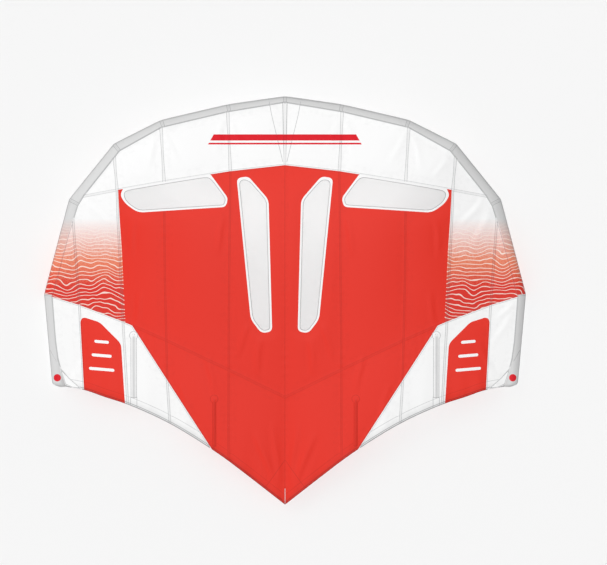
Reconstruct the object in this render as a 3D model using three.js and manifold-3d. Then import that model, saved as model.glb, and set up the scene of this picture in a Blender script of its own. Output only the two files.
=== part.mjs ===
// Inflatable hand wing for foil boarding, lying right side up on a level surface. Millimetres.
// +X is to the right wing tip, +Y to the nose, +Z up. The origin is on the surface, under the middle.
// The right half is described; the left half is its mirror image.
import * as THREE from 'three';
import { mergeVertices } from 'three/addons/utils/BufferGeometryUtils.js';
import Module from 'manifold-3d';

const wasm = await Module();
wasm.setup();

// Cloth and clearances
const SHEET = 2;
const SEAM_GAP = 0.4;
const SEAT_GAP = 0.4;
const TUBE_CLEARANCE = 1;
const FLOOR_CUT = 3;

// Leading edge tube: its outline seen from above, its radius and the height of its axis at each kink
const NOSE_TO_TIP = [
  { x: 0, y: 1190, radius: 115, height: 115 - FLOOR_CUT },
  { x: 332, y: 1142, radius: 107, height: 130 },
  { x: 720, y: 1050, radius: 96, height: 160 },
  { x: 995, y: 911, radius: 83, height: 168 },
  { x: 1257, y: 588, radius: 69, height: 134 },
  { x: 1405, y: 38, radius: 54, height: 72 },
  { x: 1359, y: -489, radius: 42, height: 42 - FLOOR_CUT },
];
const TUBE_SIDES = 28;
const MITRE_OVERRUN = 0.06;
const TIP_BEVEL = { length: 9, share: 0.84 };

// Line where the canopy is sewn to the tube, from the nose to the tip
const BOND_LINE = [
  { x: 0, y: 1153 },
  { x: 335, y: 1097 },
  { x: 717, y: 1006 },
  { x: 960, y: 870 },
  { x: 1169, y: 611 },
  { x: 1206, y: 551 },
  { x: 1261, y: 381 },
  { x: 1359, y: 23 },
  { x: 1340, y: -236 },
  { x: 1326, y: -340 },
  { x: 1307, y: -415 },
  { x: 1281, y: -490 },
];

// Trailing edge, from the middle to the tip
const TRAILING_EDGE = [
  { x: 0, y: -1190 },
  { x: 215, y: -1021 },
  { x: 355, y: -914 },
  { x: 495, y: -820 },
  { x: 634, y: -735 },
  { x: 774, y: -664 },
  { x: 914, y: -605 },
  { x: 1053, y: -560 },
  { x: 1170, y: -521 },
  { x: 1359, y: -489 },
];

// Spanwise seams, from the middle to the tip
const FRONT_SEAM = [
  { x: 0, y: 783 },
  { x: 315, y: 748 },
  { x: 698, y: 687 },
  { x: 972, y: 640 },
  { x: 1257, y: 589 },
];
const REAR_SEAM = [
  { x: 0, y: -562 },
  { x: 327, y: -402 },
  { x: 691, y: -230 },
  { x: 941, y: -122 },
  { x: 1196, y: -26 },
  { x: 1407, y: 38 },
];

// Seam where the red field ends in the rear band
const RED_FIELD_SEAM = [
  { x: 435, y: -849 },
  { x: 887, y: -145 },
];

// Chordwise seams, from front to rear
const SEAM_A = [
  { x: 334, y: 1142 },
  { x: 315, y: 748 },
  { x: 325, y: -113 },
  { x: 329, y: -905 },
];
const SEAM_B = [
  { x: 720, y: 1050 },
  { x: 698, y: 687 },
  { x: 695, y: 119 },
  { x: 683, y: -474 },
  { x: 669, y: -713 },
];
const SEAM_C = [
  { x: 995, y: 911 },
  { x: 972, y: 640 },
  { x: 967, y: 469 },
  { x: 940, y: -137 },
  { x: 914, y: -602 },
];
const SEAM_D = [
  { x: 1241, y: 554 },
  { x: 1231, y: 487 },
  { x: 1196, y: -26 },
  { x: 1170, y: -519 },
];

// Height field of the canopy
const CANOPY = {
  noseSlope: 0.3,
  tipSlope: 0.12,
  rearSlope: -0.15,
  rearHeightMiddle: 77,
  rearHeightTip: 62,
  rearArch: 78,
  billow: 16,
  halfSpan: 1405,
  ridgeRound: 60,
  rearDistanceShare: 0.85,
};
const KINK_BLEND = { near: 10, growth: 0.25 };
const SLOPE_STEP = 2;
const REAR_CURVE_STEPS = 54;

// Turns in which a place on a net, or one beside the tube, is closed in on
const NET_TURNS = 40;
const TUBE_TURNS = 8;

// Windows: corners of the clear film and how far each corner is rounded
const LENGTHWISE_WINDOW = [
  { x: 278, y: 707, round: 26 },
  { x: 212, y: 719, round: 26 },
  { x: 94, y: 583, round: 30 },
  { x: 74, y: -179, round: 28 },
  { x: 137, y: -189, round: 28 },
  { x: 198, y: -108, round: 30 },
];
const CROSSWISE_WINDOW = [
  { x: 441, y: 745, round: 30 },
  { x: 328, y: 592, round: 22 },
  { x: 342, y: 541, round: 22 },
  { x: 850, y: 509, round: 36 },
  { x: 925, y: 562, round: 30 },
  { x: 957, y: 623, round: 16 },
  { x: 950, y: 655, round: 10 },
];
const NET_MARGIN = 8;
const ROUND_STEPS = 4;
const BLOCK_HEIGHT = 600;
const BELOW = { wide: 3200, deep: 100 };

// Centre strut
const STRUT = { frontRadius: 88, rearRadius: 46, taper: 1.35, rearEnd: -1100, sides: 24, startRow: 4 };
const STRUT_DOME = [
  { back: 15, share: 0.93 },
  { back: 27, share: 0.75 },
  { back: 34, share: 0.45 },
];

// Soft handles under the strut: the middle of each grip along Y
const HANDLES = [
  { name: 'front_handle', y: 420 },
  { name: 'rear_handle', y: -80 },
];
const HANDLE = { length: 250, drop: 64, gripRadius: 16, endRadius: 13, fullness: 0.5, sides: 10, steps: 16 };
const HANDLE_CORNER = [
  { inward: 0, down: 0.35 },
  { inward: 18, down: 0.8 },
  { inward: 60, down: 1 },
];

// Batten pockets and tip patches sewn on the canopy
const INNER_POCKET = { on: 'rear_panel_2_red', x: 411, width: 25, head: -571, headRadius: 25, rear: -849 };
const OUTER_POCKET = { on: 'rear_panel_3_white', x: 879, width: 37, head: -203, headRadius: 26, rear: -567 };
const POCKET_HEAD_STEPS = 16;
const POCKET_SHEET = 1.5;
const TIP_PATCH_SHEET = 1;
const TIP_PATCH = [
  { x: 1177, y: -514 },
  { x: 1257, y: -450 },
  { x: 1300, y: -400 },
  { x: 1331, y: -356 },
  { x: 1400, y: -356 },
  { x: 1400, y: -560 },
  { x: 1177, y: -560 },
];

// Where the wedge-shaped panels end, short of their points
const WEDGE = { frontPanelEnd: 1171, sidePanelFront: 473, redEnd: 884, whiteStart: 438 };

// Where the rows of a panel's net lie, as shares of its depth
const FRONT_ROWS = [0, 0.065, 0.13, 0.25, 0.4, 0.6, 0.8, 1];
const MIDDLE_ROWS = [0, 0.1, 0.2, 0.3, 0.4, 0.5, 0.6, 0.7, 0.8, 0.9, 1];
const REAR_ROWS = [0, 0.2, 0.4, 0.6, 0.8, 1];
const EVEN_COLUMNS = [0, 0.17, 0.33, 0.5, 0.67, 0.83, 1];
const CORNER_COLUMNS = [0, 0.16, 0.313, 0.5, 0.7, 0.85, 1];
const EDGE_COLUMNS = [0, 0.25, 0.5, 0.7, 0.85, 0.94, 1];

const FINISHES = {
  white: { color: 0xf4f4f2, roughness: 0.62, metalness: 0 },
  red: { color: 0xe43d31, roughness: 0.6, metalness: 0 },
  tube: { color: 0xededeb, roughness: 0.7, metalness: 0 },
  film: { color: 0xeef0f0, roughness: 0.2, metalness: 0 },
  grip: { color: 0x2c2d30, roughness: 0.85, metalness: 0 },
  patch: { color: 0xdcdcda, roughness: 0.75, metalness: 0 },
};

const mix = THREE.MathUtils.lerp;

// Value at one coordinate of a line given by points, read along the other
function readLine(points, at, along, value) {
  const rising = points[0][along] < points[points.length - 1][along];
  const list = rising ? points : [...points].reverse();
  let i = 1;
  while (i < list.length - 1 && at > list[i][along]) i += 1;
  const share = (at - list[i - 1][along]) / (list[i][along] - list[i - 1][along]);
  return mix(list[i - 1][value], list[i][value], share);
}

const yOn = (points) => (x) => readLine(points, x, 'x', 'y');
const xOn = (points) => (y) => readLine(points, y, 'y', 'x');

// The trailing edge is one smooth curve through its points
const smoothRear = new THREE.SplineCurve(TRAILING_EDGE.map((p) => new THREE.Vector2(p.x, p.y)));
const trailingEdge = yOn(smoothRear.getPoints(REAR_CURVE_STEPS));
const bondFront = yOn(BOND_LINE.filter((p, i) => i === 0 || p.x > BOND_LINE[i - 1].x));
const bondSide = xOn(BOND_LINE);
const frontSeam = yOn(FRONT_SEAM);
const rearSeam = yOn(REAR_SEAM);
const redFieldSeam = yOn(RED_FIELD_SEAM);
const seamA = xOn(SEAM_A);
const seamB = xOn(SEAM_B);
const seamC = xOn(SEAM_C);
const seamD = xOn(SEAM_D);
const middle = () => 0;

// Axis of the tube: inside the outline by the radius, with the direction of the mitre at each kink
function noseAxis() {
  const outline = NOSE_TO_TIP.map((p) => new THREE.Vector2(p.x, p.y));
  const inward = [];
  for (let k = 0; k < outline.length - 1; k += 1) {
    const run = outline[k + 1].clone().sub(outline[k]).normalize();
    inward.push(new THREE.Vector2(run.y, -run.x));
  }
  const rear = TRAILING_EDGE.slice(-2);
  const tipCut = new THREE.Vector2(rear[0].x - rear[1].x, rear[0].y - rear[1].y).normalize();
  return NOSE_TO_TIP.map((p, k) => {
    let mitre = new THREE.Vector2(0, -1);
    if (k > 0 && k < outline.length - 1) mitre = inward[k - 1].clone().add(inward[k]).normalize();
    if (k === outline.length - 1) mitre = tipCut;
    const facing = inward[Math.min(k, inward.length - 1)];
    const reach = mitre.multiplyScalar(p.radius / mitre.dot(facing));
    return { at: outline[k].clone().add(reach), reach, radius: p.radius, height: p.height };
  });
}

const axis = noseAxis();

// Top of the tube over a point, or null beside the tube
function tubeTop(x, y) {
  let top = null;
  for (let k = 0; k < axis.length - 1; k += 1) {
    const [p, q] = [axis[k], axis[k + 1]];
    const point = new THREE.Vector2(x, y);
    let across = 0;
    let along = 0;
    for (let turn = 0; turn < TUBE_TURNS; turn += 1) {
      const from = p.at.clone().addScaledVector(p.reach, across);
      const run = q.at.clone().addScaledVector(q.reach, across).sub(from);
      along = point.clone().sub(from).dot(run) / run.lengthSq();
      const reach = p.reach.clone().lerp(q.reach, along);
      const centre = p.at.clone().lerp(q.at, along);
      across = point.clone().sub(centre).dot(reach) / reach.lengthSq();
    }
    const radius = mix(p.radius, q.radius, along);
    const wide = radius / (radius + TUBE_CLEARANCE);
    const within = along > -MITRE_OVERRUN && along < 1 + MITRE_OVERRUN;
    if (within && Math.abs(across * wide) < 1) {
      const rise = (radius + TUBE_CLEARANCE) * Math.sqrt(1 - (across * wide) ** 2);
      top = Math.max(top ?? -Infinity, mix(p.height, q.height, along) + rise);
    }
  }
  return top;
}

// Distance behind the axis of the tube, with the tube's radius and height there, blended over the kinks
function behindTube(x, y) {
  const point = new THREE.Vector2(x, y);
  const mirrored = { ...axis[1], at: new THREE.Vector2(-axis[1].at.x, axis[1].at.y) };
  const spans = [[mirrored, axis[0]]];
  for (let k = 0; k < axis.length - 1; k += 1) spans.push([axis[k], axis[k + 1]]);
  const found = spans.map(([p, q]) => {
    const run = q.at.clone().sub(p.at);
    const along = point.clone().sub(p.at).dot(run) / run.lengthSq();
    const inward = new THREE.Vector2(run.y, -run.x).normalize();
    const share = THREE.MathUtils.clamp(along, 0, 1);
    const distance = point.clone().sub(p.at).dot(inward);
    return { distance, radius: mix(p.radius, q.radius, share), height: mix(p.height, q.height, share) };
  });
  const nearest = Math.min(...found.map((f) => f.distance));
  const soft = KINK_BLEND.near + KINK_BLEND.growth * Math.max(0, nearest);
  const weights = found.map((f) => Math.exp((nearest - f.distance) / soft));
  const total = weights.reduce((sum, w) => sum + w, 0);
  const blended = { distance: 0, radius: 0, height: 0 };
  found.forEach((f, i) => {
    blended.distance += (f.distance * weights[i]) / total;
    blended.radius += (f.radius * weights[i]) / total;
    blended.height += (f.height * weights[i]) / total;
  });
  return blended;
}

// Underside of the canopy: it leaves the tube along its tangent, rises to its camber and falls to the rear
function underside(x, y) {
  const nose = behindTube(x, y);
  const span = Math.min(1, x / CANOPY.halfSpan);
  const startSlope = mix(CANOPY.noseSlope, CANOPY.tipSlope, span);
  const tangent = Math.atan(startSlope);
  const radius = nose.radius + TUBE_CLEARANCE;
  const leaves = -radius * Math.sin(tangent);
  const startHeight = nose.height + radius * Math.cos(tangent);
  const roundX = Math.hypot(x, CANOPY.ridgeRound) - CANOPY.ridgeRound;
  const toRear = Math.max(0, y - trailingEdge(roundX)) * CANOPY.rearDistanceShare;
  const behind = Math.max(0, nose.distance - leaves);
  const length = Math.max(1, behind + toRear);
  const t = behind / length;
  const rearHeight =
    mix(CANOPY.rearHeightMiddle, CANOPY.rearHeightTip, span) + CANOPY.rearArch * Math.sin(Math.PI * span);
  const camber =
    (2 * t ** 3 - 3 * t ** 2 + 1) * startHeight +
    (3 * t ** 2 - 2 * t ** 3) * rearHeight +
    (t ** 3 - 2 * t ** 2 + t) * length * startSlope +
    (t ** 3 - t ** 2) * length * CANOPY.rearSlope;
  const billow = CANOPY.billow * 4 * t * (1 - t) * Math.sin(Math.PI * span) ** 2;
  const tube = tubeTop(x, y);
  return tube === null ? camber + billow : Math.max(camber + billow, tube);
}

// How much taller than its thickness a sloping sheet is
function steepness(x, y) {
  const inward = Math.min(SLOPE_STEP, x);
  const dx = (underside(x + SLOPE_STEP, y) - underside(x - inward, y)) / (SLOPE_STEP + inward);
  const dy = (underside(x, y + SLOPE_STEP) - underside(x, y - SLOPE_STEP)) / (2 * SLOPE_STEP);
  return Math.hypot(1, dx, dy);
}

// Faces that all run one way round; they are turned over if they enclose a negative volume
function geometryFrom(points, faces) {
  const places = points.map(([x, y, z]) => new THREE.Vector3(x, y, z));
  const volume = faces.reduce((sum, [a, b, c]) => {
    return sum + places[a].dot(new THREE.Vector3().crossVectors(places[b], places[c]));
  }, 0);
  const geometry = new THREE.BufferGeometry().setFromPoints(places);
  geometry.setIndex(faces.flatMap(([a, b, c]) => (volume < 0 ? [a, c, b] : [a, b, c])));
  return geometry;
}

// The same piece on the left half
function mirrorImage(geometry) {
  const image = geometry.clone().scale(-1, 1, 1);
  image.index.array.reverse();
  return image;
}

// A sheet over a net of points; net(a, b) is the place in plan for shares a across and b from the front
function sheetOver(net, columns, rows, { lift = 0, thickness = SHEET } = {}) {
  const wide = columns.length;
  const count = wide * rows.length;
  const [low, high] = [[], []];
  for (const b of rows) {
    for (const a of columns) {
      const [x, y] = net(a, b);
      const steep = steepness(x, y);
      const base = underside(x, y) + lift * steep;
      low.push([x, y, base]);
      high.push([x, y, base + thickness * steep]);
    }
  }
  const faces = [];
  const quad = (a, b, c, d) => faces.push([a, b, c], [a, c, d]);
  for (let j = 0; j < rows.length - 1; j += 1) {
    for (let i = 0; i < wide - 1; i += 1) {
      const [p, q, r, s] = [j * wide + i, (j + 1) * wide + i, (j + 1) * wide + i + 1, j * wide + i + 1];
      quad(p, s, r, q);
      quad(count + p, count + q, count + r, count + s);
    }
  }
  const rim = [];
  for (let i = 0; i < wide - 1; i += 1) rim.push(i);
  for (let j = 0; j < rows.length - 1; j += 1) rim.push(j * wide + wide - 1);
  for (let i = wide - 1; i > 0; i -= 1) rim.push((rows.length - 1) * wide + i);
  for (let j = rows.length - 1; j > 0; j -= 1) rim.push(j * wide);
  rim.forEach((p, k) => {
    const q = rim[(k + 1) % rim.length];
    quad(q, p, count + p, count + q);
  });
  return geometryFrom([...low, ...high], faces);
}

// Net of a panel between an inner and an outer line (x by y) and a front and a rear line (y by x)
function panelNet({ inner, outer, front, rear }) {
  const half = SEAM_GAP / 2;
  const inset = (line, x) => half * Math.hypot(1, (line(x + 1) - line(x - 1)) / 2);
  return (a, b) => {
    let [x, y] = [inner(0), 0];
    for (let turn = 0; turn < NET_TURNS; turn += 1) {
      x = mix(inner(y) + half, outer(y) - half, a);
      y = mix(front(x) - inset(front, x), rear(x) + inset(rear, x), b);
    }
    return [x, y];
  };
}

function toSolid(geometry) {
  const bare = geometry.clone();
  bare.deleteAttribute('normal');
  bare.deleteAttribute('uv');
  const merged = mergeVertices(bare, 1e-3);
  return new wasm.Manifold(
    new wasm.Mesh({
      numProp: 3,
      vertProperties: Float32Array.from(merged.attributes.position.array),
      triVerts: Uint32Array.from(merged.index.array),
    }),
  );
}

function fromSolid(solid) {
  const mesh = solid.getMesh();
  const geometry = new THREE.BufferGeometry();
  geometry.setAttribute('position', new THREE.Float32BufferAttribute(mesh.vertProperties, 3));
  geometry.setIndex(Array.from(mesh.triVerts));
  return geometry;
}

// A closed skin over rings of points, each ring running the same way round
function loft(rings) {
  const sides = rings[0].length;
  const points = rings.flat();
  const faces = [];
  for (let k = 0; k < rings.length - 1; k += 1) {
    for (let i = 0; i < sides; i += 1) {
      const j = (i + 1) % sides;
      const [p, q, r, s] = [k * sides + i, k * sides + j, (k + 1) * sides + j, (k + 1) * sides + i];
      faces.push([p, q, r], [p, r, s]);
    }
  }
  const last = (rings.length - 1) * sides;
  for (let i = 1; i < sides - 1; i += 1) {
    faces.push([0, i + 1, i], [last, last + i, last + i + 1]);
  }
  return geometryFrom(points, faces);
}

// What would reach below the surface is cut off flat
function belowSurface() {
  const block = new THREE.BoxGeometry(BELOW.wide, BELOW.wide, BELOW.deep);
  return toSolid(block.translate(0, 0, -BELOW.deep / 2));
}

const flattened = (geometry) => fromSolid(toSolid(geometry).subtract(belowSurface()));

// One ring of the leading edge tube, grown by some clearance and moved along the tube
function tubeRing(station, run, shift, share = 1, grow = 0) {
  const ring = [];
  for (let i = 0; i < TUBE_SIDES; i += 1) {
    const turn = (2 * Math.PI * i) / TUBE_SIDES;
    const scale = share * (1 + grow / station.radius);
    ring.push([
      station.at.x + run.x * shift + station.reach.x * scale * Math.cos(turn),
      station.at.y + run.y * shift + station.reach.y * scale * Math.cos(turn),
      station.height + station.radius * scale * Math.sin(turn),
    ]);
  }
  return ring;
}

function tubeLength(k, grow = 0) {
  const [p, q] = [axis[k], axis[k + 1]];
  const run = q.at.clone().sub(p.at).normalize();
  const half = SEAM_GAP / 2;
  const rings = [tubeRing(p, run, half, 1, grow)];
  if (k < axis.length - 2) {
    rings.push(tubeRing(q, run, -half, 1, grow));
  } else {
    rings.push(tubeRing(q, run, -TIP_BEVEL.length, 1, grow), tubeRing(q, run, 0, TIP_BEVEL.share, grow));
  }
  return loft(rings);
}

// The canopy's underside along the middle, at the rows of the panels' nets
function middleLine() {
  const bands = [
    { rows: FRONT_ROWS, front: bondFront(0), rear: frontSeam(0) },
    { rows: MIDDLE_ROWS.slice(1), front: frontSeam(0), rear: rearSeam(0) },
    { rows: REAR_ROWS.slice(1), front: rearSeam(0), rear: trailingEdge(0) },
  ];
  const places = bands.flatMap(({ rows, front, rear }) => rows.map((b) => mix(front, rear, b)));
  return places.map((y) => ({ y, z: underside(0, y) }));
}

const ridge = middleLine();
const strutFront = ridge[STRUT.startRow].y;
const strutTop = (y) => readLine(ridge, y, 'y', 'z') - SEAT_GAP;

function strutRadius(y) {
  const share = THREE.MathUtils.clamp((strutFront - y) / (strutFront - STRUT.rearEnd), 0, 1);
  return mix(STRUT.frontRadius, STRUT.rearRadius, share ** STRUT.taper);
}

const strutBottom = (y) => strutTop(y) - 2 * strutRadius(y);

function strutRing(y, share, grow) {
  const radius = strutRadius(y);
  const centre = strutTop(y) - radius;
  const ring = [];
  for (let i = 0; i < STRUT.sides; i += 1) {
    const turn = (2 * Math.PI * i) / STRUT.sides;
    const reach = radius * share + grow;
    ring.push([reach * Math.cos(turn), y, centre + reach * Math.sin(turn)]);
  }
  return ring;
}

function strutSkin(grow = 0) {
  const stations = ridge.slice(STRUT.startRow).map(({ y }) => y);
  const along = stations.filter((y) => y > STRUT.rearEnd);
  const rings = [...along, STRUT.rearEnd].map((y) => strutRing(y, 1, grow));
  const end = strutRing(STRUT.rearEnd, 1, grow);
  const centre = strutTop(STRUT.rearEnd) - strutRadius(STRUT.rearEnd);
  for (const { back, share } of STRUT_DOME) {
    rings.push(end.map(([x, y, z]) => [x * share, y - back, centre + (z - centre) * share]));
  }
  return toSolid(loft(rings));
}

function strut() {
  const tube = tubeLength(0, SEAT_GAP);
  const cut = strutSkin().subtract(toSolid(tube)).subtract(toSolid(mirrorImage(tube)));
  return fromSolid(cut.subtract(belowSurface()));
}

// A grip that hangs from the strut at both of its ends
function handle({ y }) {
  const low = (at, drop) => new THREE.Vector3(0, at, strutBottom(at) - drop);
  const endPoints = (side) => {
    const end = y + (side * HANDLE.length) / 2;
    const corner = HANDLE_CORNER.map(({ inward, down }) => low(end - side * inward, HANDLE.drop * down));
    return [low(end, -HANDLE.endRadius), ...corner];
  };
  const path = new THREE.CatmullRomCurve3([...endPoints(1), ...endPoints(-1).reverse()]);
  const rings = [];
  for (let k = 0; k <= HANDLE.steps; k += 1) {
    const centre = path.getPointAt(k / HANDLE.steps);
    const run = path.getTangentAt(k / HANDLE.steps);
    const thick = Math.sin((Math.PI * k) / HANDLE.steps) ** HANDLE.fullness;
    const radius = mix(HANDLE.endRadius, HANDLE.gripRadius, thick);
    const up = new THREE.Vector3(0, -run.z, run.y);
    const ring = [];
    for (let i = 0; i < HANDLE.sides; i += 1) {
      const turn = (2 * Math.PI * i) / HANDLE.sides;
      const point = centre.clone().addScaledVector(up, radius * Math.sin(turn));
      ring.push([point.x + radius * Math.cos(turn), point.y, point.z]);
    }
    rings.push(ring);
  }
  return fromSolid(toSolid(loft(rings)).subtract(strutSkin(SEAT_GAP)));
}

// Outline in plan with each corner rounded, grown outwards by some gap
function roundedOutline(corners, grow = 0) {
  const places = corners.map((p) => new THREE.Vector2(p.x, p.y));
  const turning = Math.sign(THREE.ShapeUtils.area(places));
  const beside = (i, step) => places[(i + step + places.length) % places.length];
  const grown = places.map((p, i) => {
    const into = p.clone().sub(beside(i, -1)).normalize();
    const out = beside(i, 1).clone().sub(p).normalize();
    const facing = new THREE.Vector2(into.y, -into.x);
    const normal = new THREE.Vector2(into.y + out.y, -into.x - out.x).normalize();
    return p.clone().addScaledVector(normal, (turning * grow) / normal.dot(facing));
  });
  const outline = new THREE.Path();
  grown.forEach((p, i) => {
    const before = grown[(i + grown.length - 1) % grown.length];
    const after = grown[(i + 1) % grown.length];
    const start = p.clone().add(before.clone().sub(p).setLength(corners[i].round));
    const end = p.clone().add(after.clone().sub(p).setLength(corners[i].round));
    if (i === 0) outline.moveTo(start.x, start.y);
    else outline.lineTo(start.x, start.y);
    outline.quadraticCurveTo(p.x, p.y, end.x, end.y);
  });
  return outline.getPoints(ROUND_STEPS);
}

// A pocket's outline: a strip with a round head
function keyholeOutline({ x, width, head, headRadius, rear }) {
  const open = Math.asin(width / 2 / headRadius);
  const outline = new THREE.Path();
  outline.moveTo(x - width / 2, rear);
  outline.lineTo(x + width / 2, rear);
  outline.absarc(x, head, headRadius, open - Math.PI / 2, (3 * Math.PI) / 2 - open, false);
  return outline.getPoints(POCKET_HEAD_STEPS);
}

function uprightBlock(outline) {
  const options = { depth: BLOCK_HEIGHT, bevelEnabled: false };
  const block = new THREE.ExtrudeGeometry(new THREE.Shape(outline), options);
  return toSolid(block);
}

// A sheet cut to an outline in plan
function cutSheet(net, columns, rows, outline, sheet) {
  return toSolid(sheetOver(net, columns, rows, sheet)).intersect(uprightBlock(outline));
}

const straight = (value) => () => value;

const frontPanel = (name, inner, outer) => {
  const basis = { front: bondFront, rear: frontSeam, rows: FRONT_ROWS, columns: EVEN_COLUMNS };
  return { name, inner, outer, finish: 'white', ...basis };
};
const middlePanel = (name, inner, outer, extra) => {
  const basis = { front: frontSeam, rear: rearSeam, rows: MIDDLE_ROWS, columns: EVEN_COLUMNS };
  return { name, inner, outer, finish: 'red', ...basis, ...extra };
};
const rearPanel = (name, inner, outer, extra) => {
  const basis = { front: rearSeam, rear: trailingEdge, rows: REAR_ROWS, columns: EVEN_COLUMNS };
  return { name, inner, outer, finish: 'white', ...basis, ...extra };
};
const redRear = (x) => Math.max(redFieldSeam(x), trailingEdge(x));
const whiteFront = (x) => Math.min(redFieldSeam(x), rearSeam(x));
const sideEdge = (y) => Math.min(bondSide(y), seamD(y));

// The panels of one half: the lines around each, the rows and columns of its net, its colour and its window
const PANELS = [
  frontPanel('front_panel_1', middle, seamA),
  frontPanel('front_panel_2', seamA, seamB),
  frontPanel('front_panel_3', seamB, seamC),
  frontPanel('front_panel_4', seamC, straight(WEDGE.frontPanelEnd)),
  middlePanel('middle_panel_1', middle, seamA, { window: LENGTHWISE_WINDOW }),
  middlePanel('middle_panel_2', seamA, seamB, { window: CROSSWISE_WINDOW }),
  middlePanel('middle_panel_3', seamB, seamC, { window: CROSSWISE_WINDOW }),
  middlePanel('middle_panel_4', seamC, sideEdge, { finish: 'white', columns: EDGE_COLUMNS }),
  middlePanel('middle_panel_5', seamD, bondSide, {
    front: straight(WEDGE.sidePanelFront),
    finish: 'white',
    columns: EDGE_COLUMNS,
  }),
  rearPanel('rear_panel_1', middle, seamA, { finish: 'red' }),
  rearPanel('rear_panel_2_red', seamA, seamB, { rear: redRear, finish: 'red', columns: CORNER_COLUMNS }),
  rearPanel('rear_panel_2_white', straight(WEDGE.whiteStart), seamB, { front: redFieldSeam }),
  rearPanel('rear_panel_3_red', seamB, straight(WEDGE.redEnd), { rear: redFieldSeam, finish: 'red' }),
  rearPanel('rear_panel_3_white', seamB, seamC, { front: whiteFront }),
  rearPanel('rear_panel_4', seamC, seamD, { columns: EDGE_COLUMNS }),
  rearPanel('rear_panel_5', seamD, bondSide, { columns: EDGE_COLUMNS }),
];

const WINDOWS = [
  { name: 'lengthwise_window', corners: LENGTHWISE_WINDOW, columns: 4, rows: 8 },
  { name: 'crosswise_window', corners: CROSSWISE_WINDOW, columns: 10, rows: 3, front: frontSeam },
];

const model = new THREE.Group();

function add(name, geometry, finish) {
  const mesh = new THREE.Mesh(geometry, new THREE.MeshStandardMaterial(FINISHES[finish]));
  mesh.name = name;
  model.add(mesh);
}

function addPair(name, geometry, finish) {
  add(`${name}_right`, geometry, finish);
  add(`${name}_left`, mirrorImage(geometry), finish);
}

function addTube(k) {
  const skin = tubeLength(k);
  const rests = k === 0 || k === axis.length - 2;
  addPair(`leading_edge_${k + 1}`, rests ? flattened(skin) : skin, 'tube');
}

function addPanel(panel) {
  const sheet = sheetOver(panelNet(panel), panel.columns, panel.rows);
  if (!panel.window) return addPair(panel.name, sheet, panel.finish);
  const hole = uprightBlock(roundedOutline(panel.window, SEAM_GAP));
  return addPair(panel.name, fromSolid(toSolid(sheet).subtract(hole)), panel.finish);
}

function addWindow({ name, corners, columns, rows, front }) {
  const [xs, ys] = ['x', 'y'].map((key) => corners.map((p) => p[key]));
  const net = panelNet({
    inner: straight(Math.min(...xs) - NET_MARGIN),
    outer: straight(Math.max(...xs) + NET_MARGIN),
    front: front ?? straight(Math.max(...ys) + NET_MARGIN),
    rear: straight(Math.min(...ys) - NET_MARGIN),
  });
  const even = (count) => Array.from({ length: count + 1 }, (_, i) => i / count);
  addPair(name, fromSolid(cutSheet(net, even(columns), even(rows), roundedOutline(corners))), 'film');
}

// A piece sewn on a panel, following the panel's own net
function addSewnOn(name, panelName, outline, thickness, finish) {
  const panel = PANELS.find((one) => one.name === panelName);
  const sheet = { lift: SHEET + SEAT_GAP, thickness };
  const piece = cutSheet(panelNet(panel), panel.columns, panel.rows, outline, sheet);
  addPair(name, fromSolid(piece), finish ?? panel.finish);
}

for (let k = 0; k < axis.length - 1; k += 1) addTube(k);
for (const panel of PANELS) addPanel(panel);
for (const window of WINDOWS) addWindow(window);
addSewnOn('inner_pocket', INNER_POCKET.on, keyholeOutline(INNER_POCKET), POCKET_SHEET);
addSewnOn('outer_pocket', OUTER_POCKET.on, keyholeOutline(OUTER_POCKET), POCKET_SHEET);
const patchOutline = TIP_PATCH.map((p) => new THREE.Vector2(p.x, p.y));
addSewnOn('tip_patch', 'rear_panel_5', patchOutline, TIP_PATCH_SHEET, 'patch');
add('centre_strut', strut(), 'tube');
for (const grip of HANDLES) add(grip.name, handle(grip), 'grip');

export default model;
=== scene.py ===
import math
from collections import namedtuple

import bpy
import numpy as np
from bpy.props import FloatProperty, FloatVectorProperty, IntProperty, PointerProperty
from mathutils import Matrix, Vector, geometry
from mathutils.bvhtree import BVHTree


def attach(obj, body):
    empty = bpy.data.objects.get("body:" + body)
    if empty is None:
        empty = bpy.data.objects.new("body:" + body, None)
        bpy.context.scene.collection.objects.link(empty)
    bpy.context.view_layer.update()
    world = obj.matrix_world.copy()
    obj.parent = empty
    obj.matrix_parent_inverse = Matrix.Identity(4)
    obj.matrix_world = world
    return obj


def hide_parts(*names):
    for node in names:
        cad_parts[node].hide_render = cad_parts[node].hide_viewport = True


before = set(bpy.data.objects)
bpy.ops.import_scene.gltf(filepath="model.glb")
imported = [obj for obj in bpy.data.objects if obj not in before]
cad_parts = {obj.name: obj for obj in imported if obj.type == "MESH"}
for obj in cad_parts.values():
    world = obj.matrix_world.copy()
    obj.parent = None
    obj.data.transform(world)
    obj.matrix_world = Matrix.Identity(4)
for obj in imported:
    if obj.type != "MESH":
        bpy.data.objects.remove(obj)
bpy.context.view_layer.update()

bl_info = {
    "name": "Foiling hand wing",
    "version": (1, 0, 0),
    "blender": (4, 5, 0),
    "location": "View3D > Sidebar > Wing",
    "description": "Sews and inflates a foiling hand wing around its frame",
    "category": "Object",
}

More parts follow.
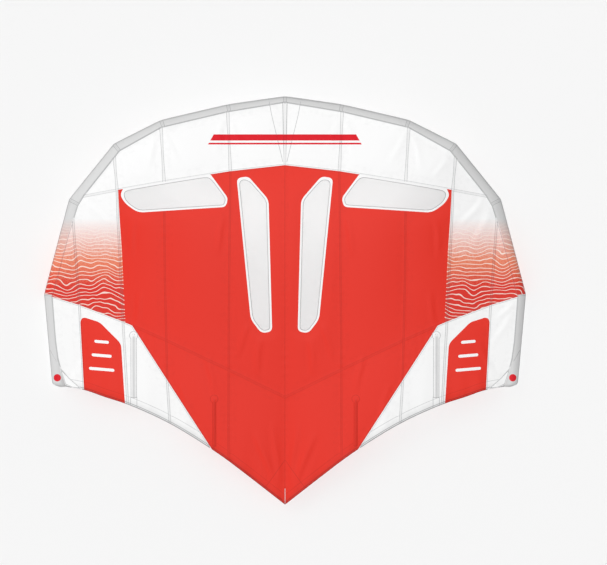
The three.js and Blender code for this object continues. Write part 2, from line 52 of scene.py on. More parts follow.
# Lines of the wing in plan, in metres: +X to the right tip, +Y to the nose. The left half mirrors the right.
# Outline of the tube at its kinks, its radius and the height of its axis
NOSE_TO_TIP = (
    (0.0, 1.190, 0.115, 0.112),
    (0.332, 1.142, 0.107, 0.130),
    (0.720, 1.050, 0.096, 0.160),
    (0.995, 0.911, 0.083, 0.168),
    (1.257, 0.588, 0.069, 0.134),
    (1.405, 0.038, 0.054, 0.072),
    (1.359, -0.489, 0.042, 0.039),
)
BOND_LINE = (
    (0.0, 1.153), (0.335, 1.097), (0.717, 1.006), (0.960, 0.870), (1.169, 0.611), (1.206, 0.551),
    (1.261, 0.381), (1.359, 0.023), (1.340, -0.236), (1.326, -0.340), (1.307, -0.415), (1.281, -0.490),
)
WIDEST = 8
TRAILING_EDGE = (
    (0.0, -1.190), (0.215, -1.021), (0.355, -0.914), (0.495, -0.820), (0.634, -0.735),
    (0.774, -0.664), (0.914, -0.605), (1.053, -0.560), (1.170, -0.521), (1.359, -0.489),
)
FRONT_SEAM = ((0.0, 0.783), (0.315, 0.748), (0.698, 0.687), (0.972, 0.640), (1.257, 0.589))
REAR_SEAM = (
    (0.0, -0.562), (0.327, -0.402), (0.691, -0.230), (0.941, -0.122), (1.196, -0.026), (1.407, 0.038),
)
RED_FIELD_SEAM = ((0.435, -0.849), (0.887, -0.145))
SEAM_A = ((0.334, 1.142), (0.315, 0.748), (0.325, -0.113), (0.329, -0.905))
SEAM_B = ((0.720, 1.050), (0.698, 0.687), (0.695, 0.119), (0.683, -0.474), (0.669, -0.713))
SEAM_C = ((0.995, 0.911), (0.972, 0.640), (0.967, 0.469), (0.940, -0.137), (0.914, -0.602))
SEAM_D = ((1.241, 0.554), (1.231, 0.487), (1.196, -0.026), (1.170, -0.519))
WEDGE_ENDS = {"front": 1.1755, "side": 0.4795, "red": 0.8855, "white": 0.4365}

# Corners of the film windows and how far each is rounded
LENGTHWISE_WINDOW = (
    (0.278, 0.707, 0.026), (0.212, 0.719, 0.026), (0.094, 0.583, 0.030),
    (0.074, -0.179, 0.028), (0.137, -0.189, 0.028), (0.198, -0.108, 0.030),
)
CROSSWISE_WINDOW = (
    (0.441, 0.745, 0.030), (0.328, 0.592, 0.022), (0.342, 0.541, 0.022), (0.850, 0.509, 0.036),
    (0.925, 0.562, 0.030), (0.954, 0.612, 0.022), (0.930, 0.660, 0.022),
)

# Film in a window: gap between its points, rounds of smoothing, how many of them smooth all of its edge,
# and how near the front seam the others work
FILM = {"gap": 0.006, "rounds": 70, "rounds_everywhere": 6, "near_seam": 0.085, "fade": 0.03}

# Height of the canopy
CANOPY = {
    "nose_slope": 0.3,
    "tip_slope": 0.12,
    "rear_slope": -0.15,
    "rear_height_middle": 0.077,
    "rear_height_tip": 0.062,
    "rear_arch": 0.078,
    "billow": 0.016,
    "half_span": 1.405,
    "ridge_round": 0.060,
    "rear_distance_share": 0.85,
}
KINK_NEAR = 0.010
KINK_GROWTH = 0.25
TUBE_CLEARANCE = 0.001
FRAME_SHEET = 0.002
MITRE_OVERRUN = 0.06

# Strut under the middle and the grips under it
STRUT = {
    "front": 1.005, "rear": -1.100, "front_radius": 0.088, "rear_radius": 0.046, "taper": 1.35,
    "dome": 0.034, "gap": 0.0006, "first_ring": 0.95,
}
STRUT_SEAMS = (0.62, 0.10, -0.46)
HANDLE_MIDDLES = {"front_handle": 0.420, "rear_handle": -0.080}
HANDLE = {"length": 0.250, "drop": 0.064, "corner": ((0.0, 0.35), (0.018, 0.8), (0.060, 1.0))}
HANDLE_RINGS = 64

# Share of a grip's length that is webbing at each end; its radius at shares of its length from an end
WEBBING_END = 0.165
GRIP_PROFILE = (
    (0.0, 0.0125), (0.10, 0.0115), (0.16, 0.0115), (0.168, 0.0150), (0.200, 0.0155),
    (0.208, 0.0142), (0.216, 0.0156), (0.36, 0.0162), (0.5, 0.0158),
)

# Batten pockets: middle line, width, centre and radius of the head, rear end
INNER_POCKET = (0.411, 0.025, -0.571, 0.025, -0.849)
OUTER_POCKET = (0.879, 0.037, -0.203, 0.026, -0.567)
TIP_PATCH = (
    (1.177, -0.519), (1.257, -0.450), (1.300, -0.400), (1.331, -0.356), (1.322, -0.360),
    (1.307, -0.415), (1.281, -0.490), (1.240, -0.508),
)

# Painted shade along the outermost line of the tube: where it starts round the tube and how dark it is
TUBE_EDGE_SHADE = {"from": 0.88, "fade": 0.06, "tone": 0.42}

# Stitch lines of the nose, rear and tip patches, and on the tube lengths with their numbers
NOSE_PATCH = ((0.100, 1.200), (0.078, 1.080), (0.012, 0.803))
REAR_PATCH = ((0.0, -0.928), (0.097, -1.065), (0.125, -1.100))
TIP_LINE = ((1.300, -0.520), (1.325, -0.340))
POCKET_END = {"sides": (0.8605, 0.8975), "front": -0.560, "rear": -0.640}
TUBE_STITCHES = {
    0: (NOSE_PATCH,),
    5: (((1.374, -0.283), (1.349, -0.325), (1.331, -0.356)),),
}

# Creases drawn in the cloth: start, end, height, width
CREASES = (
    ((0.345, 1.075), (0.405, 0.840), 0.0020, 0.016),
    ((0.318, 1.070), (0.235, 0.860), 0.0016, 0.015),
    ((0.730, 0.985), (0.800, 0.760), 0.0022, 0.016),
    ((0.700, 0.985), (0.610, 0.780), 0.0018, 0.016),
    ((0.950, 0.850), (0.860, 0.700), 0.0020, 0.014),
    ((1.150, 0.590), (1.020, 0.430), 0.0024, 0.016),
    ((1.190, 0.530), (1.090, 0.300), 0.0018, 0.018),
    ((1.335, 0.000), (1.240, -0.110), 0.0022, 0.014),
    ((1.325, -0.060), (1.215, -0.260), 0.0016, 0.016),
    ((1.240, -0.470), (1.120, -0.250), 0.0020, 0.018),
    ((0.050, -1.110), (0.170, -0.760), 0.0024, 0.018),
    ((0.035, -1.080), (0.070, -0.700), 0.0018, 0.016),
    ((0.411, -0.545), (0.455, -0.300), 0.0018, 0.016),
    ((0.879, -0.180), (0.830, 0.060), 0.0016, 0.016),
    ((0.140, -0.215), (0.170, -0.430), 0.0020, 0.018),
    ((0.205, -0.130), (0.285, -0.330), 0.0016, 0.016),
    ((0.350, 0.500), (0.400, 0.260), 0.0018, 0.018),
    ((0.870, 0.470), (0.900, 0.250), 0.0016, 0.016),
    ((0.560, -0.700), (0.600, -0.480), 0.0016, 0.018),
)

# Plain print: a pair of stripes on the front band, bars in the tip fields, a dot at the tips
STRIPE = {"reach": 0.412, "slant": 0.020, "rows": ((0.926, 0.962), (0.903, 0.913))}
TAIL_MARK = ((-0.010, -1.096), (0.0014, -1.096), (0.0014, -1.192), (-0.010, -1.192))
TIP_FIELD = (
    (1.191, -0.111, 0.022), (1.170, -0.097, 0.016), (1.077, -0.126, 0.020), (0.958, -0.244, 0.020),
    (0.951, -0.266, 0.010), (0.928, -0.640, 0.004), (1.169, -0.560, 0.004),
)
BARS = {
    "x": 1.066, "rows": (-0.240, -0.320, -0.400), "half": (0.034, 0.050, 0.066),
    "thick": 0.017, "lean": 0.08,
}
DOT = {"x": 1.3275, "y": -0.4505, "radius": 0.022}

# Stitching: its distance from the edge that it follows, its half width, the length of a stitch
STITCH_LINE = {
    "side": 0.0055, "red_side": 0.0042, "front": 0.0060, "rear": 0.0065, "hem": 0.046,
    "patch": 0.0040, "pocket": 0.0025, "tube": 0.0085, "strut": 0.0070,
}
NOSE_LINE = (0.0125, 0.0050)
THREAD = 0.0014
FILM_THREAD = 0.0022
STITCH = 0.009
RIPSTOP = 0.0036
MIDDLE_SEAM_SPREAD = 2.3

# Shade where the cloth is bonded on the tube; panels whose outer edge is bonded too, and how far back
BOND_SHADE = {"front": 0.7, "side": 0.55, "width": 0.007, "fade": 0.0035}
SIDE_BONDED = {"middle_panel_4": 0.48, "rear_panel_5": -1.0}

# Rows of points beside an edge, and rings beside a seam of the tube and of the strut
PANEL_RIMS = (0.0035, 0.007, 0.011)
TUBE_END_RINGS = (0.0, 0.002, 0.005, 0.009, 0.013, 0.019, 0.027)
STRUT_SEAM_RINGS = (0.005, 0.0085, 0.012, 0.018, 0.026)

# Share of its radius by which a tube is drawn in at a seam, and how soon that and the wrinkles fade
TUBE_SEAM = {"drawn": 0.014, "fade": 0.016, "wrinkle_fade": 0.045}
STRUT_SEAM = {"drawn": 0.010, "fade": 0.014, "wrinkle_fade": 0.035}

# Puckers beside a seam, the raised cloth of the seam and the flutter of the hem
PUCKER = {"pitch": 0.047, "fade": 0.022}
SEAM = {"width": 0.009, "fade": 0.003}
FLUTTER = {"slow": (0.0035, 0.27), "fast": (0.0015, 0.11), "fade": 0.11}

# Cloth laid on the canopy: its thickness and how far it lies above it; the batten and its shade in a pocket
LAID_CLOTH = 0.0006
PATCH_LIFT = 0.0010
BATTEN = {"rise": 0.0036, "half": 0.0095, "shade_half": 0.0085, "white": 0.42, "red": 0.30}

# The printed fade: where it starts, how far it runs, the distance between ripples and its two paler colours
FADE = {"front": 0.475, "run": 0.48, "ripple": 0.0235}
FADE_PALE = (0.76, 0.215, 0.12)
RIPPLE_COLOUR = (0.93, 0.84, 0.76)

# The photograph's frame: its size, the pixel that shows the middle of the wing, and metres in a pixel
PHOTO_WIDTH = 607
PHOTO_HEIGHT = 565
PHOTO_MIDDLE = (285.0, 300.5)
PIXEL = 0.00582
FOCUS_HEIGHT = 0.12
SENSOR = 36.0

Station = namedtuple("Station", "at reach radius height")
FAR = 9.0


def mix(low, high, share):
    return low + (high - low) * share


class Line:
    """A seam or edge in plan. Key 0 reads its y at a given x, key 1 its x at a given y."""

    def __init__(self, points, key):
        table = np.array(sorted(points, key=lambda p: p[key]), float)
        self.key = key
        self.known = table[:, key]
        self.value = table[:, 1 - key]

    def __call__(self, at):
        i = np.clip(np.searchsorted(self.known, at) - 1, 0, len(self.known) - 2)
        share = (at - self.known[i]) / (self.known[i + 1] - self.known[i])
        return mix(self.value[i], self.value[i + 1], share)

    def run(self, start, end, step):
        """Points along the line from one corner to another, at places that its neighbours share."""
        low, high = sorted((start[self.key], end[self.key]))
        even = np.arange(math.ceil(low / step), high / step) * step
        places = np.unique(np.round(np.concatenate([even, self.known]), 6))
        places = places[(places > low + 0.2 * step) & (places < high - 0.2 * step)]
        if start[self.key] > end[self.key]:
            places = places[::-1]
        along = np.stack([places, self(places)], 1)
        if self.key == 1:
            along = along[:, ::-1]
        return np.concatenate([[start], along])


def straight(value, key):
    points = ((-2.0, value), (2.0, value))
    return Line(points if key == 0 else [p[::-1] for p in points], key)


def envelope(first, second, pick):
    """The upper or lower one of two lines, with a corner where they cross."""
    fine = np.linspace(-1.3, 1.5, 5601)
    apart = first(fine) - second(fine)
    turns = np.flatnonzero(apart[:-1] * apart[1:] < 0)
    crossing = fine[turns] - apart[turns] * (fine[1] - fine[0]) / (apart[turns + 1] - apart[turns])
    places = np.unique(np.concatenate([first.known, second.known, crossing]))
    values = pick(first(places), second(places))
    pairs = zip(places, values) if first.key == 0 else zip(values, places)
    return Line(list(pairs), first.key)


def smooth_curve(points, steps):
    """A curve through the points, as a bent batten would lie."""
    points = np.array(points, float)
    share = np.arange(steps)[:, None] / steps
    out = []
    for k in range(len(points) - 1):
        before, after = points[max(k - 1, 0)], points[min(k + 2, len(points) - 1)]
        start, end = points[k], points[k + 1]
        lead, tail = (end - before) / 2, (after - start) / 2
        out.append(
            (2 * start - 2 * end + lead + tail) * share**3
            + (3 * end - 3 * start - 2 * lead - tail) * share**2
            + lead * share
            + start
        )
    return np.concatenate([*out, points[-1:]])


front_bond = Line(BOND_LINE[:WIDEST], 0)
side_bond = Line(BOND_LINE, 1)
trailing_edge = Line(smooth_curve(TRAILING_EDGE, 6), 0)
front_seam = Line(FRONT_SEAM, 0)
rear_seam = Line(REAR_SEAM, 0)
red_field_seam = Line(RED_FIELD_SEAM, 0)
middle = straight(0.0, 1)
seam_a, seam_b, seam_c, seam_d = (Line(p, 1) for p in (SEAM_A, SEAM_B, SEAM_C, SEAM_D))


def tube_stations():
    """Axis of the tube at each of its kinks, worked out from the outline."""
    outline = np.array([p[:2] for p in NOSE_TO_TIP])
    run = np.diff(outline, axis=0)
    run /= np.linalg.norm(run, axis=1)[:, None]
    inward = np.stack([run[:, 1], -run[:, 0]], 1)
    rear = np.array(TRAILING_EDGE[-2:])
    mitres = [np.array([0.0, -1.0]), *(inward[:-1] + inward[1:]), rear[0] - rear[1]]
    stations = []
    for k, (_, _, radius, height) in enumerate(NOSE_TO_TIP):
        mitre = mitres[k] / np.linalg.norm(mitres[k])
        reach = mitre * radius / (mitre @ inward[min(k, len(inward) - 1)])
        stations.append(Station(outline[k] + reach, reach, radius, height))
    return stations


AXIS = tube_stations()


def tube_top(x, y):
    """Top of the tube over each point, far below where there is none."""
    place = np.stack([x, y], -1)
    top = np.full(np.shape(x), -FAR)
    for p, q in zip(AXIS, AXIS[1:]):
        across = np.zeros(np.shape(x))[..., None]
        for _ in range(8):
            run = q.at - p.at + across * (q.reach - p.reach)
            along = ((place - p.at - across * p.reach) * run).sum(-1, keepdims=True)
            along = along / (run * run).sum(-1, keepdims=True)
            reach = mix(p.reach, q.reach, along)
            off = ((place - mix(p.at, q.at, along)) * reach).sum(-1, keepdims=True)
            across = off / (reach * reach).sum(-1, keepdims=True)
        along, across = along[..., 0], across[..., 0]
        radius = mix(p.radius, q.radius, along)
        side = across * radius / (radius + TUBE_CLEARANCE)
        rise = (radius + TUBE_CLEARANCE) * np.sqrt(np.clip(1 - side**2, 0, 1))
        over = (along > -MITRE_OVERRUN) & (along < 1 + MITRE_OVERRUN) & (np.abs(side) < 1)
        top = np.where(over, np.maximum(top, mix(p.height, q.height, along) + rise), top)
    return top


def behind_tube(x, y):
    """Distance behind the tube's axis, its radius and its height, blended over the kinks."""
    place = np.stack([x, y], -1)
    mirrored = AXIS[1]._replace(at=AXIS[1].at * (-1, 1))
    found = []
    for p, q in zip([mirrored, *AXIS], AXIS):
        run = q.at - p.at
        share = np.clip(((place - p.at) @ run) / (run @ run), 0, 1)
        inward = np.array([run[1], -run[0]]) / np.linalg.norm(run)
        height = mix(p.height, q.height, share)
        found.append(((place - p.at) @ inward, mix(p.radius, q.radius, share), height))
    found = np.array(found)
    nearest = found[:, 0].min(0)
    weight = np.exp((nearest - found[:, 0]) / (KINK_NEAR + KINK_GROWTH * np.maximum(0, nearest)))
    return (found * (weight / weight.sum(0))[:, None]).sum(0)


def underside(x, y):
    """Underside of the canopy, from the tube's tangent over the camber to the rear edge."""
    distance, radius, height = behind_tube(x, y)
    span = np.minimum(1, x / CANOPY["half_span"])
    slope = mix(CANOPY["nose_slope"], CANOPY["tip_slope"], span)
    radius = radius + TUBE_CLEARANCE
    start = height + radius * np.cos(np.arctan(slope))
    rounded = np.hypot(x, CANOPY["ridge_round"]) - CANOPY["ridge_round"]
    to_rear = np.maximum(0, y - trailing_edge(rounded)) * CANOPY["rear_distance_share"]
    behind = np.maximum(0, distance + radius * np.sin(np.arctan(slope)))
    length = np.maximum(0.001, behind + to_rear)
    t = behind / length
    rear = mix(CANOPY["rear_height_middle"], CANOPY["rear_height_tip"], span)
    rear = rear + CANOPY["rear_arch"] * np.sin(math.pi * span)
    camber = (
        (2 * t**3 - 3 * t**2 + 1) * start
        + (3 * t**2 - 2 * t**3) * rear
        + (t**3 - 2 * t**2 + t) * length * slope
        + (t**3 - t**2) * length * CANOPY["rear_slope"]
    )
    billow = CANOPY["billow"] * 4 * t * (1 - t) * np.sin(math.pi * span) ** 2
    return np.maximum(camber + billow, tube_top(x, y))


def cloth_top(x, y):
    """Upper face of the canopy before its seams and creases."""
    step = 0.002
    inward = np.minimum(step, x)
    dx = (underside(x + step, y) - underside(x - inward, y)) / (step + inward)
    dy = (underside(x, y + step) - underside(x, y - step)) / (2 * step)
    return underside(x, y) + FRAME_SHEET * np.sqrt(1 + dx**2 + dy**2)


# Plan geometry
def distance_to(places, path):
    """Distance in plan from each place to a path of points."""
    start, run = path[:-1], np.diff(path, axis=0)
    length = np.maximum((run * run).sum(1), 1e-12)
    best = np.full(len(places), FAR)
    for a, r, l in zip(start, run, length):
        along = np.clip(((places - a) @ r) / l, 0, 1)
        off = places - a - along[:, None] * r
        best = np.minimum(best, np.hypot(off[:, 0], off[:, 1]))
    return best


def closed(loop):
    return np.concatenate([loop, loop[:1]])


def inside(places, loop):
    """Which places lie inside a closed loop."""
    result = np.zeros(len(places), bool)
    x, y = places[:, 0], places[:, 1]
    for (x0, y0), (x1, y1) in zip(loop, np.roll(loop, -1, axis=0)):
        if y0 != y1:
            crosses = (y0 > y) != (y1 > y)
            result ^= crosses & (x < x0 + (y - y0) * (x1 - x0) / (y1 - y0))
    return result


def offset(loop, distance):
    """The loop moved sideways: inwards on a clockwise loop for a positive distance."""
    before, after = np.roll(loop, 1, axis=0), np.roll(loop, -1, axis=0)
    into, out = loop - before, after - loop
    into /= np.maximum(np.linalg.norm(into, axis=1), 1e-9)[:, None]
    out /= np.maximum(np.linalg.norm(out, axis=1), 1e-9)[:, None]
    normal = np.stack([into[:, 1] + out[:, 1], -into[:, 0] - out[:, 0]], 1)
    size = np.maximum(np.linalg.norm(normal, axis=1), 1e-9)[:, None]
    return loop + distance * normal / size


def rounded_loop(corners, steps=8):
    """A closed outline with each of its corners rounded."""
    at = np.array([c[:2] for c in corners])
    share = np.linspace(0, 1, steps + 1)[:, None]
    out = []
    for k, (_, _, reach) in enumerate(corners):
        before, after = at[k - 1] - at[k], at[(k + 1) % len(at)] - at[k]
        start = at[k] + before / np.linalg.norm(before) * reach
        end = at[k] + after / np.linalg.norm(after) * reach
        out.append((1 - share) ** 2 * start + 2 * share * (1 - share) * at[k] + share**2 * end)
    return np.concatenate(out)


def evenly(loop, step):
    """The same closed loop with points no further apart than a step."""
    out = []
    for start, end in zip(loop, np.roll(loop, -1, axis=0)):
        count = max(1, math.ceil(np.linalg.norm(end - start) / step))
        out.append(mix(start, end, np.arange(count)[:, None] / count))
    return np.concatenate(out)


def cut(outline, step, rims=(), holes=(), fields=(), stitches=()):
    """Triangles over an outline in plan: finer beside its edges, with corners along fields and stitches."""
    loops = [outline, *holes, *fields]
    paths = [closed(loop) for loop in loops] + list(stitches)
    edges_apart = [closed(loop) for loop in (outline, *holes)]
    chosen = [np.concatenate([*loops, *stitches])]
    beside = [offset(loop, side * rim) for loop in (outline, *holes) for rim in rims for side in (1, -1)]
    if beside:
        beside = np.concatenate(beside)
        away = np.min([distance_to(beside, path) for path in paths], axis=0)
        chosen.append(beside[away > 0.85 * min(rims)])
    low, high = outline.min(0), outline.max(0)
    rise = step * math.sqrt(3) / 2
    rows = np.arange(math.floor(low[1] / rise), high[1] / rise + 1)
    columns = np.arange(math.floor(low[0] / step), high[0] / step + 1)
    grid = np.stack(np.meshgrid(columns, rows), -1).reshape(-1, 2)
    grid = np.stack([(grid[:, 0] + 0.5 * (grid[:, 1] % 2)) * step, grid[:, 1] * rise], 1)
    grid = grid[inside(grid, outline)]
    margin = (max(rims) if rims else 0) + 0.5 * step
    clear = np.min([distance_to(grid, path) for path in edges_apart], axis=0) > margin
    for path in paths[len(edges_apart):]:
        clear &= distance_to(grid, path) > 0.45 * step
    chosen.append(grid[clear])

    edges, first = [], 0
    for loop in loops:
        edges += [(first + i, first + (i + 1) % len(loop)) for i in range(len(loop))]
        first += len(loop)
    for path in stitches:
        edges += [(first + i, first + i + 1) for i in range(len(path) - 1)]
        first += len(path)
    points = [Vector(p) for p in np.concatenate(chosen)]
    points, _, faces, *_ = geometry.delaunay_2d_cdt(points, edges, [], 0, 2e-5)
    places = np.array([tuple(p) for p in points])
    faces = np.array([tuple(f) for f in faces])
    middles = places[faces].mean(1)
    kept = inside(middles, outline)
    for hole in holes:
        kept &= ~inside(middles, hole)
    faces, middles = faces[kept], middles[kept]
    a, b, c = (places[faces[:, i]] for i in range(3))
    turn = (b[:, 0] - a[:, 0]) * (c[:, 1] - a[:, 1]) - (b[:, 1] - a[:, 1]) * (c[:, 0] - a[:, 0])
    faces = faces[np.abs(turn) > 1e-10]
    middles, turn = middles[np.abs(turn) > 1e-10], turn[np.abs(turn) > 1e-10]
    faces[turn < 0] = faces[turn < 0][:, ::-1]
    used, faces = np.unique(faces, return_inverse=True)
    faces = faces.reshape(-1, 3)
    field = np.zeros(len(faces), int)
    for k, loop in enumerate(fields):
        field[inside(middles, loop)] = k + 1
    return places[used], faces, field


WINDOW_LOOPS = [evenly(rounded_loop(c), 0.012) for c in (LENGTHWISE_WINDOW, CROSSWISE_WINDOW)]


def calm(places):
    """0 at the windows, where the film keeps the cloth flat, and 1 away from them."""
    near = np.min([distance_to(places, closed(loop)) for loop in WINDOW_LOOPS], axis=0)
    return np.clip(near / 0.06, 0, 1) ** 2 * (3 - 2 * np.clip(near / 0.06, 0, 1))


def creases(places):
    """Height of the listed creases: a ridge with a shallower fold beside it."""
    height = np.zeros(len(places))
    for start, end, rise, width in CREASES:
        start, run = np.array(start), np.array(end) - np.array(start)
        length = np.linalg.norm(run)
        along = ((places - start) @ run) / length**2
        off = ((places - start) @ np.array([run[1], -run[0]])) / length
        off = off + 0.006 * np.sin(5 * along)
        fade = np.sin(math.pi * np.clip(along, 0, 1)) ** 0.7
        ridge = np.exp(-((off / width) ** 2)) - 0.5 * np.exp(-(((off - 1.7 * width) / width) ** 2))
        height += rise * fade * ridge
    return height


class Panel:
    """One panel of the canopy: its edges in plan, its finish and what is sewn or printed on it."""

    def __init__(self, name, inner, outer, front, rear, finish, **extra):
        self.name = name
        self.lines = (inner, outer, front, rear)
        self.finish = finish
        self.windows = extra.get("windows", ())
        self.fields = extra.get("fields", ())
        self.stitches = extra.get("stitches", ())
        self.lens = extra.get("lens", 0.0)
        self.hem = name.startswith("rear") and rear is not red_field_seam
        self.bonded = front is front_bond

    def corner(self, a, b):
        inner, outer, front, rear = self.lines
        x, y = float(inner(0.0)), 0.0
        for _ in range(60):
            x = float(mix(inner(y), outer(y), a))
            y = float(mix(front(x), rear(x), b))
        return np.array([x, y])

    def sides(self, step):
        inner, outer, front, rear = self.lines
        at = {(a, b): self.corner(a, b) for a in (0, 1) for b in (0, 1)}
        return (
            front.run(at[0, 0], at[1, 0], step),
            outer.run(at[1, 0], at[1, 1], step),
            rear.run(at[1, 1], at[0, 1], step),
            inner.run(at[0, 1], at[0, 0], step),
        )

    def measure(self, places, step):
        """Distance from the inner, outer, front and rear edge; a seam before the hem counts as outer."""
        front, outer, rear, inner = self.sides(step)
        front, outer = np.concatenate([front, outer[:1]]), np.concatenate([outer, rear[:1]])
        rear, inner = np.concatenate([rear, inner[:1]]), np.concatenate([inner, front[:1]])
        if self.hem:
            seam = rear[:, 1] > trailing_edge(rear[:, 0]) + 1e-4
            if seam.any():
                last = np.flatnonzero(seam)[-1] + 2
                outer, rear = np.concatenate([outer, rear[:last]]), rear[last - 1:]
        return [distance_to(places, path) for path in (inner, outer, front, rear)]

    def height(self, places, sizes):
        """Upper face of the finished panel with its seams, puckers, bulge and creases."""
        inner, outer, front, rear = self.measure(places, sizes.step)
        x, y = places[:, 0], places[:, 1]
        wide, deep = inner + outer, front + rear
        bulge = np.sin(math.pi * inner / wide) * np.sin(math.pi * front / deep) ** 0.6
        bulge *= sizes.bulge * np.minimum(1, wide / 0.33) * np.minimum(1, deep / 0.3)
        pucker = np.zeros(len(places))
        waves = ((inner, y, 0.4), (outer, y, 0.4), (front, x, 1.1), (rear, x, 1.1))
        for away, along, turn in waves:
            beat = np.sin(2 * math.pi * along / PUCKER["pitch"] + turn + 2.2 * np.sin(along * 9.0))
            strength = 0.55 + 0.45 * np.sin(along * 17.0 + 1.3)
            pucker += sizes.pucker * beat * strength * np.exp(-away / PUCKER["fade"])
        height = (bulge + pucker + sizes.crease * creases(places)) * calm(places)
        if self.bonded:
            height *= np.clip((front - 0.004) / 0.08, 0, 1)
        nearest = np.minimum(np.minimum(inner, outer), np.minimum(front, FAR if self.hem else rear))
        height += sizes.seam_rise * np.clip((SEAM["width"] - nearest) / SEAM["fade"], 0, 1)
        if self.hem:
            (slow, long), (fast, short) = FLUTTER["slow"], FLUTTER["fast"]
            flutter = slow * np.sin(2 * math.pi * x / long + 0.6) + fast * np.sin(2 * math.pi * x / short)
            height += flutter * np.exp(-rear / FLUTTER["fade"]) * np.clip(x / 0.1, 0, 1)
            height += 1.4 * sizes.seam_rise * np.clip((0.010 - rear) / SEAM["fade"], 0, 1)
        return cloth_top(x, y) + height


def stripe_loops():
    """Two straight lines over the front band, the lower one thinner, with slanting ends."""
    bottom, top = STRIPE["rows"][0]
    loops = []
    for low, high in STRIPE["rows"]:
        ends = [STRIPE["reach"] + STRIPE["slant"] * (top - y) / (top - bottom) for y in (high, low)]
        loops.append(evenly(np.array([(-0.1, low), (-0.1, high), (ends[0], high), (ends[1], low)]), 0.03))
    return loops


def bar_loops():
    """Short plain bars with round ends, one over another, each longer than the last."""
    turn = np.linspace(math.pi / 2, -math.pi / 2, 9)
    loops = []
    for row, half in zip(BARS["rows"], BARS["half"]):
        cap = np.stack([half + BARS["thick"] / 2 * np.cos(turn), BARS["thick"] / 2 * np.sin(turn)], 1)
        bar = evenly(np.concatenate([cap, -cap]), 0.015)
        loops.append(bar + np.stack([np.full(len(bar), BARS["x"]), row + BARS["lean"] * bar[:, 0]], 1))
    return loops


def canopy_panels():
    """The panels of the right half, each between its inner, outer, front and rear line."""
    front_band = {"lens": 0.0022}
    stripes = [(loop, "mark") for loop in stripe_loops()]
    fold = np.arange(-0.2, 0.75, 0.025)
    width = np.interp(fold, (0.30, 0.60), (0.0140, 0.0070))
    within, beyond = (np.stack([seam_c(fold) + side, fold], 1) for side in (-width, 0.02))
    overlap = [(np.concatenate([within, beyond[::-1]]), "print")]
    tail_mark = [(np.array(TAIL_MARK), "white")]
    pocket_end = [np.array([(x, POCKET_END[at]) for at in ("front", "rear")]) for x in POCKET_END["sides"]]
    tip_field = [(evenly(rounded_loop(TIP_FIELD), 0.02), "red")] + [(loop, "white") for loop in bar_loops()]
    nose_patch, rear_patch, tip_line = ([np.array(path)] for path in (NOSE_PATCH, REAR_PATCH, TIP_LINE))
    red_rear = envelope(red_field_seam, trailing_edge, np.maximum)
    white_front = envelope(red_field_seam, rear_seam, np.minimum)
    side_edge = envelope(side_bond, seam_d, np.minimum)
    front, rear, bond, tail = front_seam, rear_seam, front_bond, trailing_edge
    wedge = {key: straight(value, 1) for key, value in WEDGE_ENDS.items()}
    long_window, cross_window = ([loop] for loop in WINDOW_LOOPS)
    return [
        Panel(
            "front_panel_1", middle, seam_a, bond, front, "white",
            fields=stripes, stitches=nose_patch, **front_band,
        ),
        Panel("front_panel_2", seam_a, seam_b, bond, front, "white", fields=stripes, **front_band),
        Panel("front_panel_3", seam_b, seam_c, bond, front, "white", **front_band),
        Panel("front_panel_4", seam_c, wedge["front"], bond, front, "white", **front_band),
        Panel("middle_panel_1", middle, seam_a, front, rear, "red", windows=long_window),
        Panel("middle_panel_2", seam_a, seam_b, front, rear, "red", windows=cross_window),
        Panel("middle_panel_3", seam_b, seam_c, front, rear, "red", windows=cross_window, fields=overlap),
        Panel("middle_panel_4", seam_c, side_edge, front, rear, "print"),
        Panel("middle_panel_5", seam_d, side_bond, straight(WEDGE_ENDS["side"], 0), rear, "print"),
        Panel("rear_panel_1", middle, seam_a, rear, tail, "red", stitches=rear_patch, fields=tail_mark),
        Panel("rear_panel_2_red", seam_a, seam_b, rear, red_rear, "red"),
        Panel("rear_panel_2_white", wedge["white"], seam_b, red_field_seam, tail, "white"),
        Panel("rear_panel_3_red", seam_b, wedge["red"], rear, red_field_seam, "red"),
        Panel("rear_panel_3_white", seam_b, seam_c, white_front, tail, "white", stitches=pocket_end),
        Panel("rear_panel_4", seam_c, seam_d, rear, tail, "white", fields=tip_field),
        Panel("rear_panel_5", seam_d, side_bond, rear, tail, "white", stitches=tip_line),
    ]


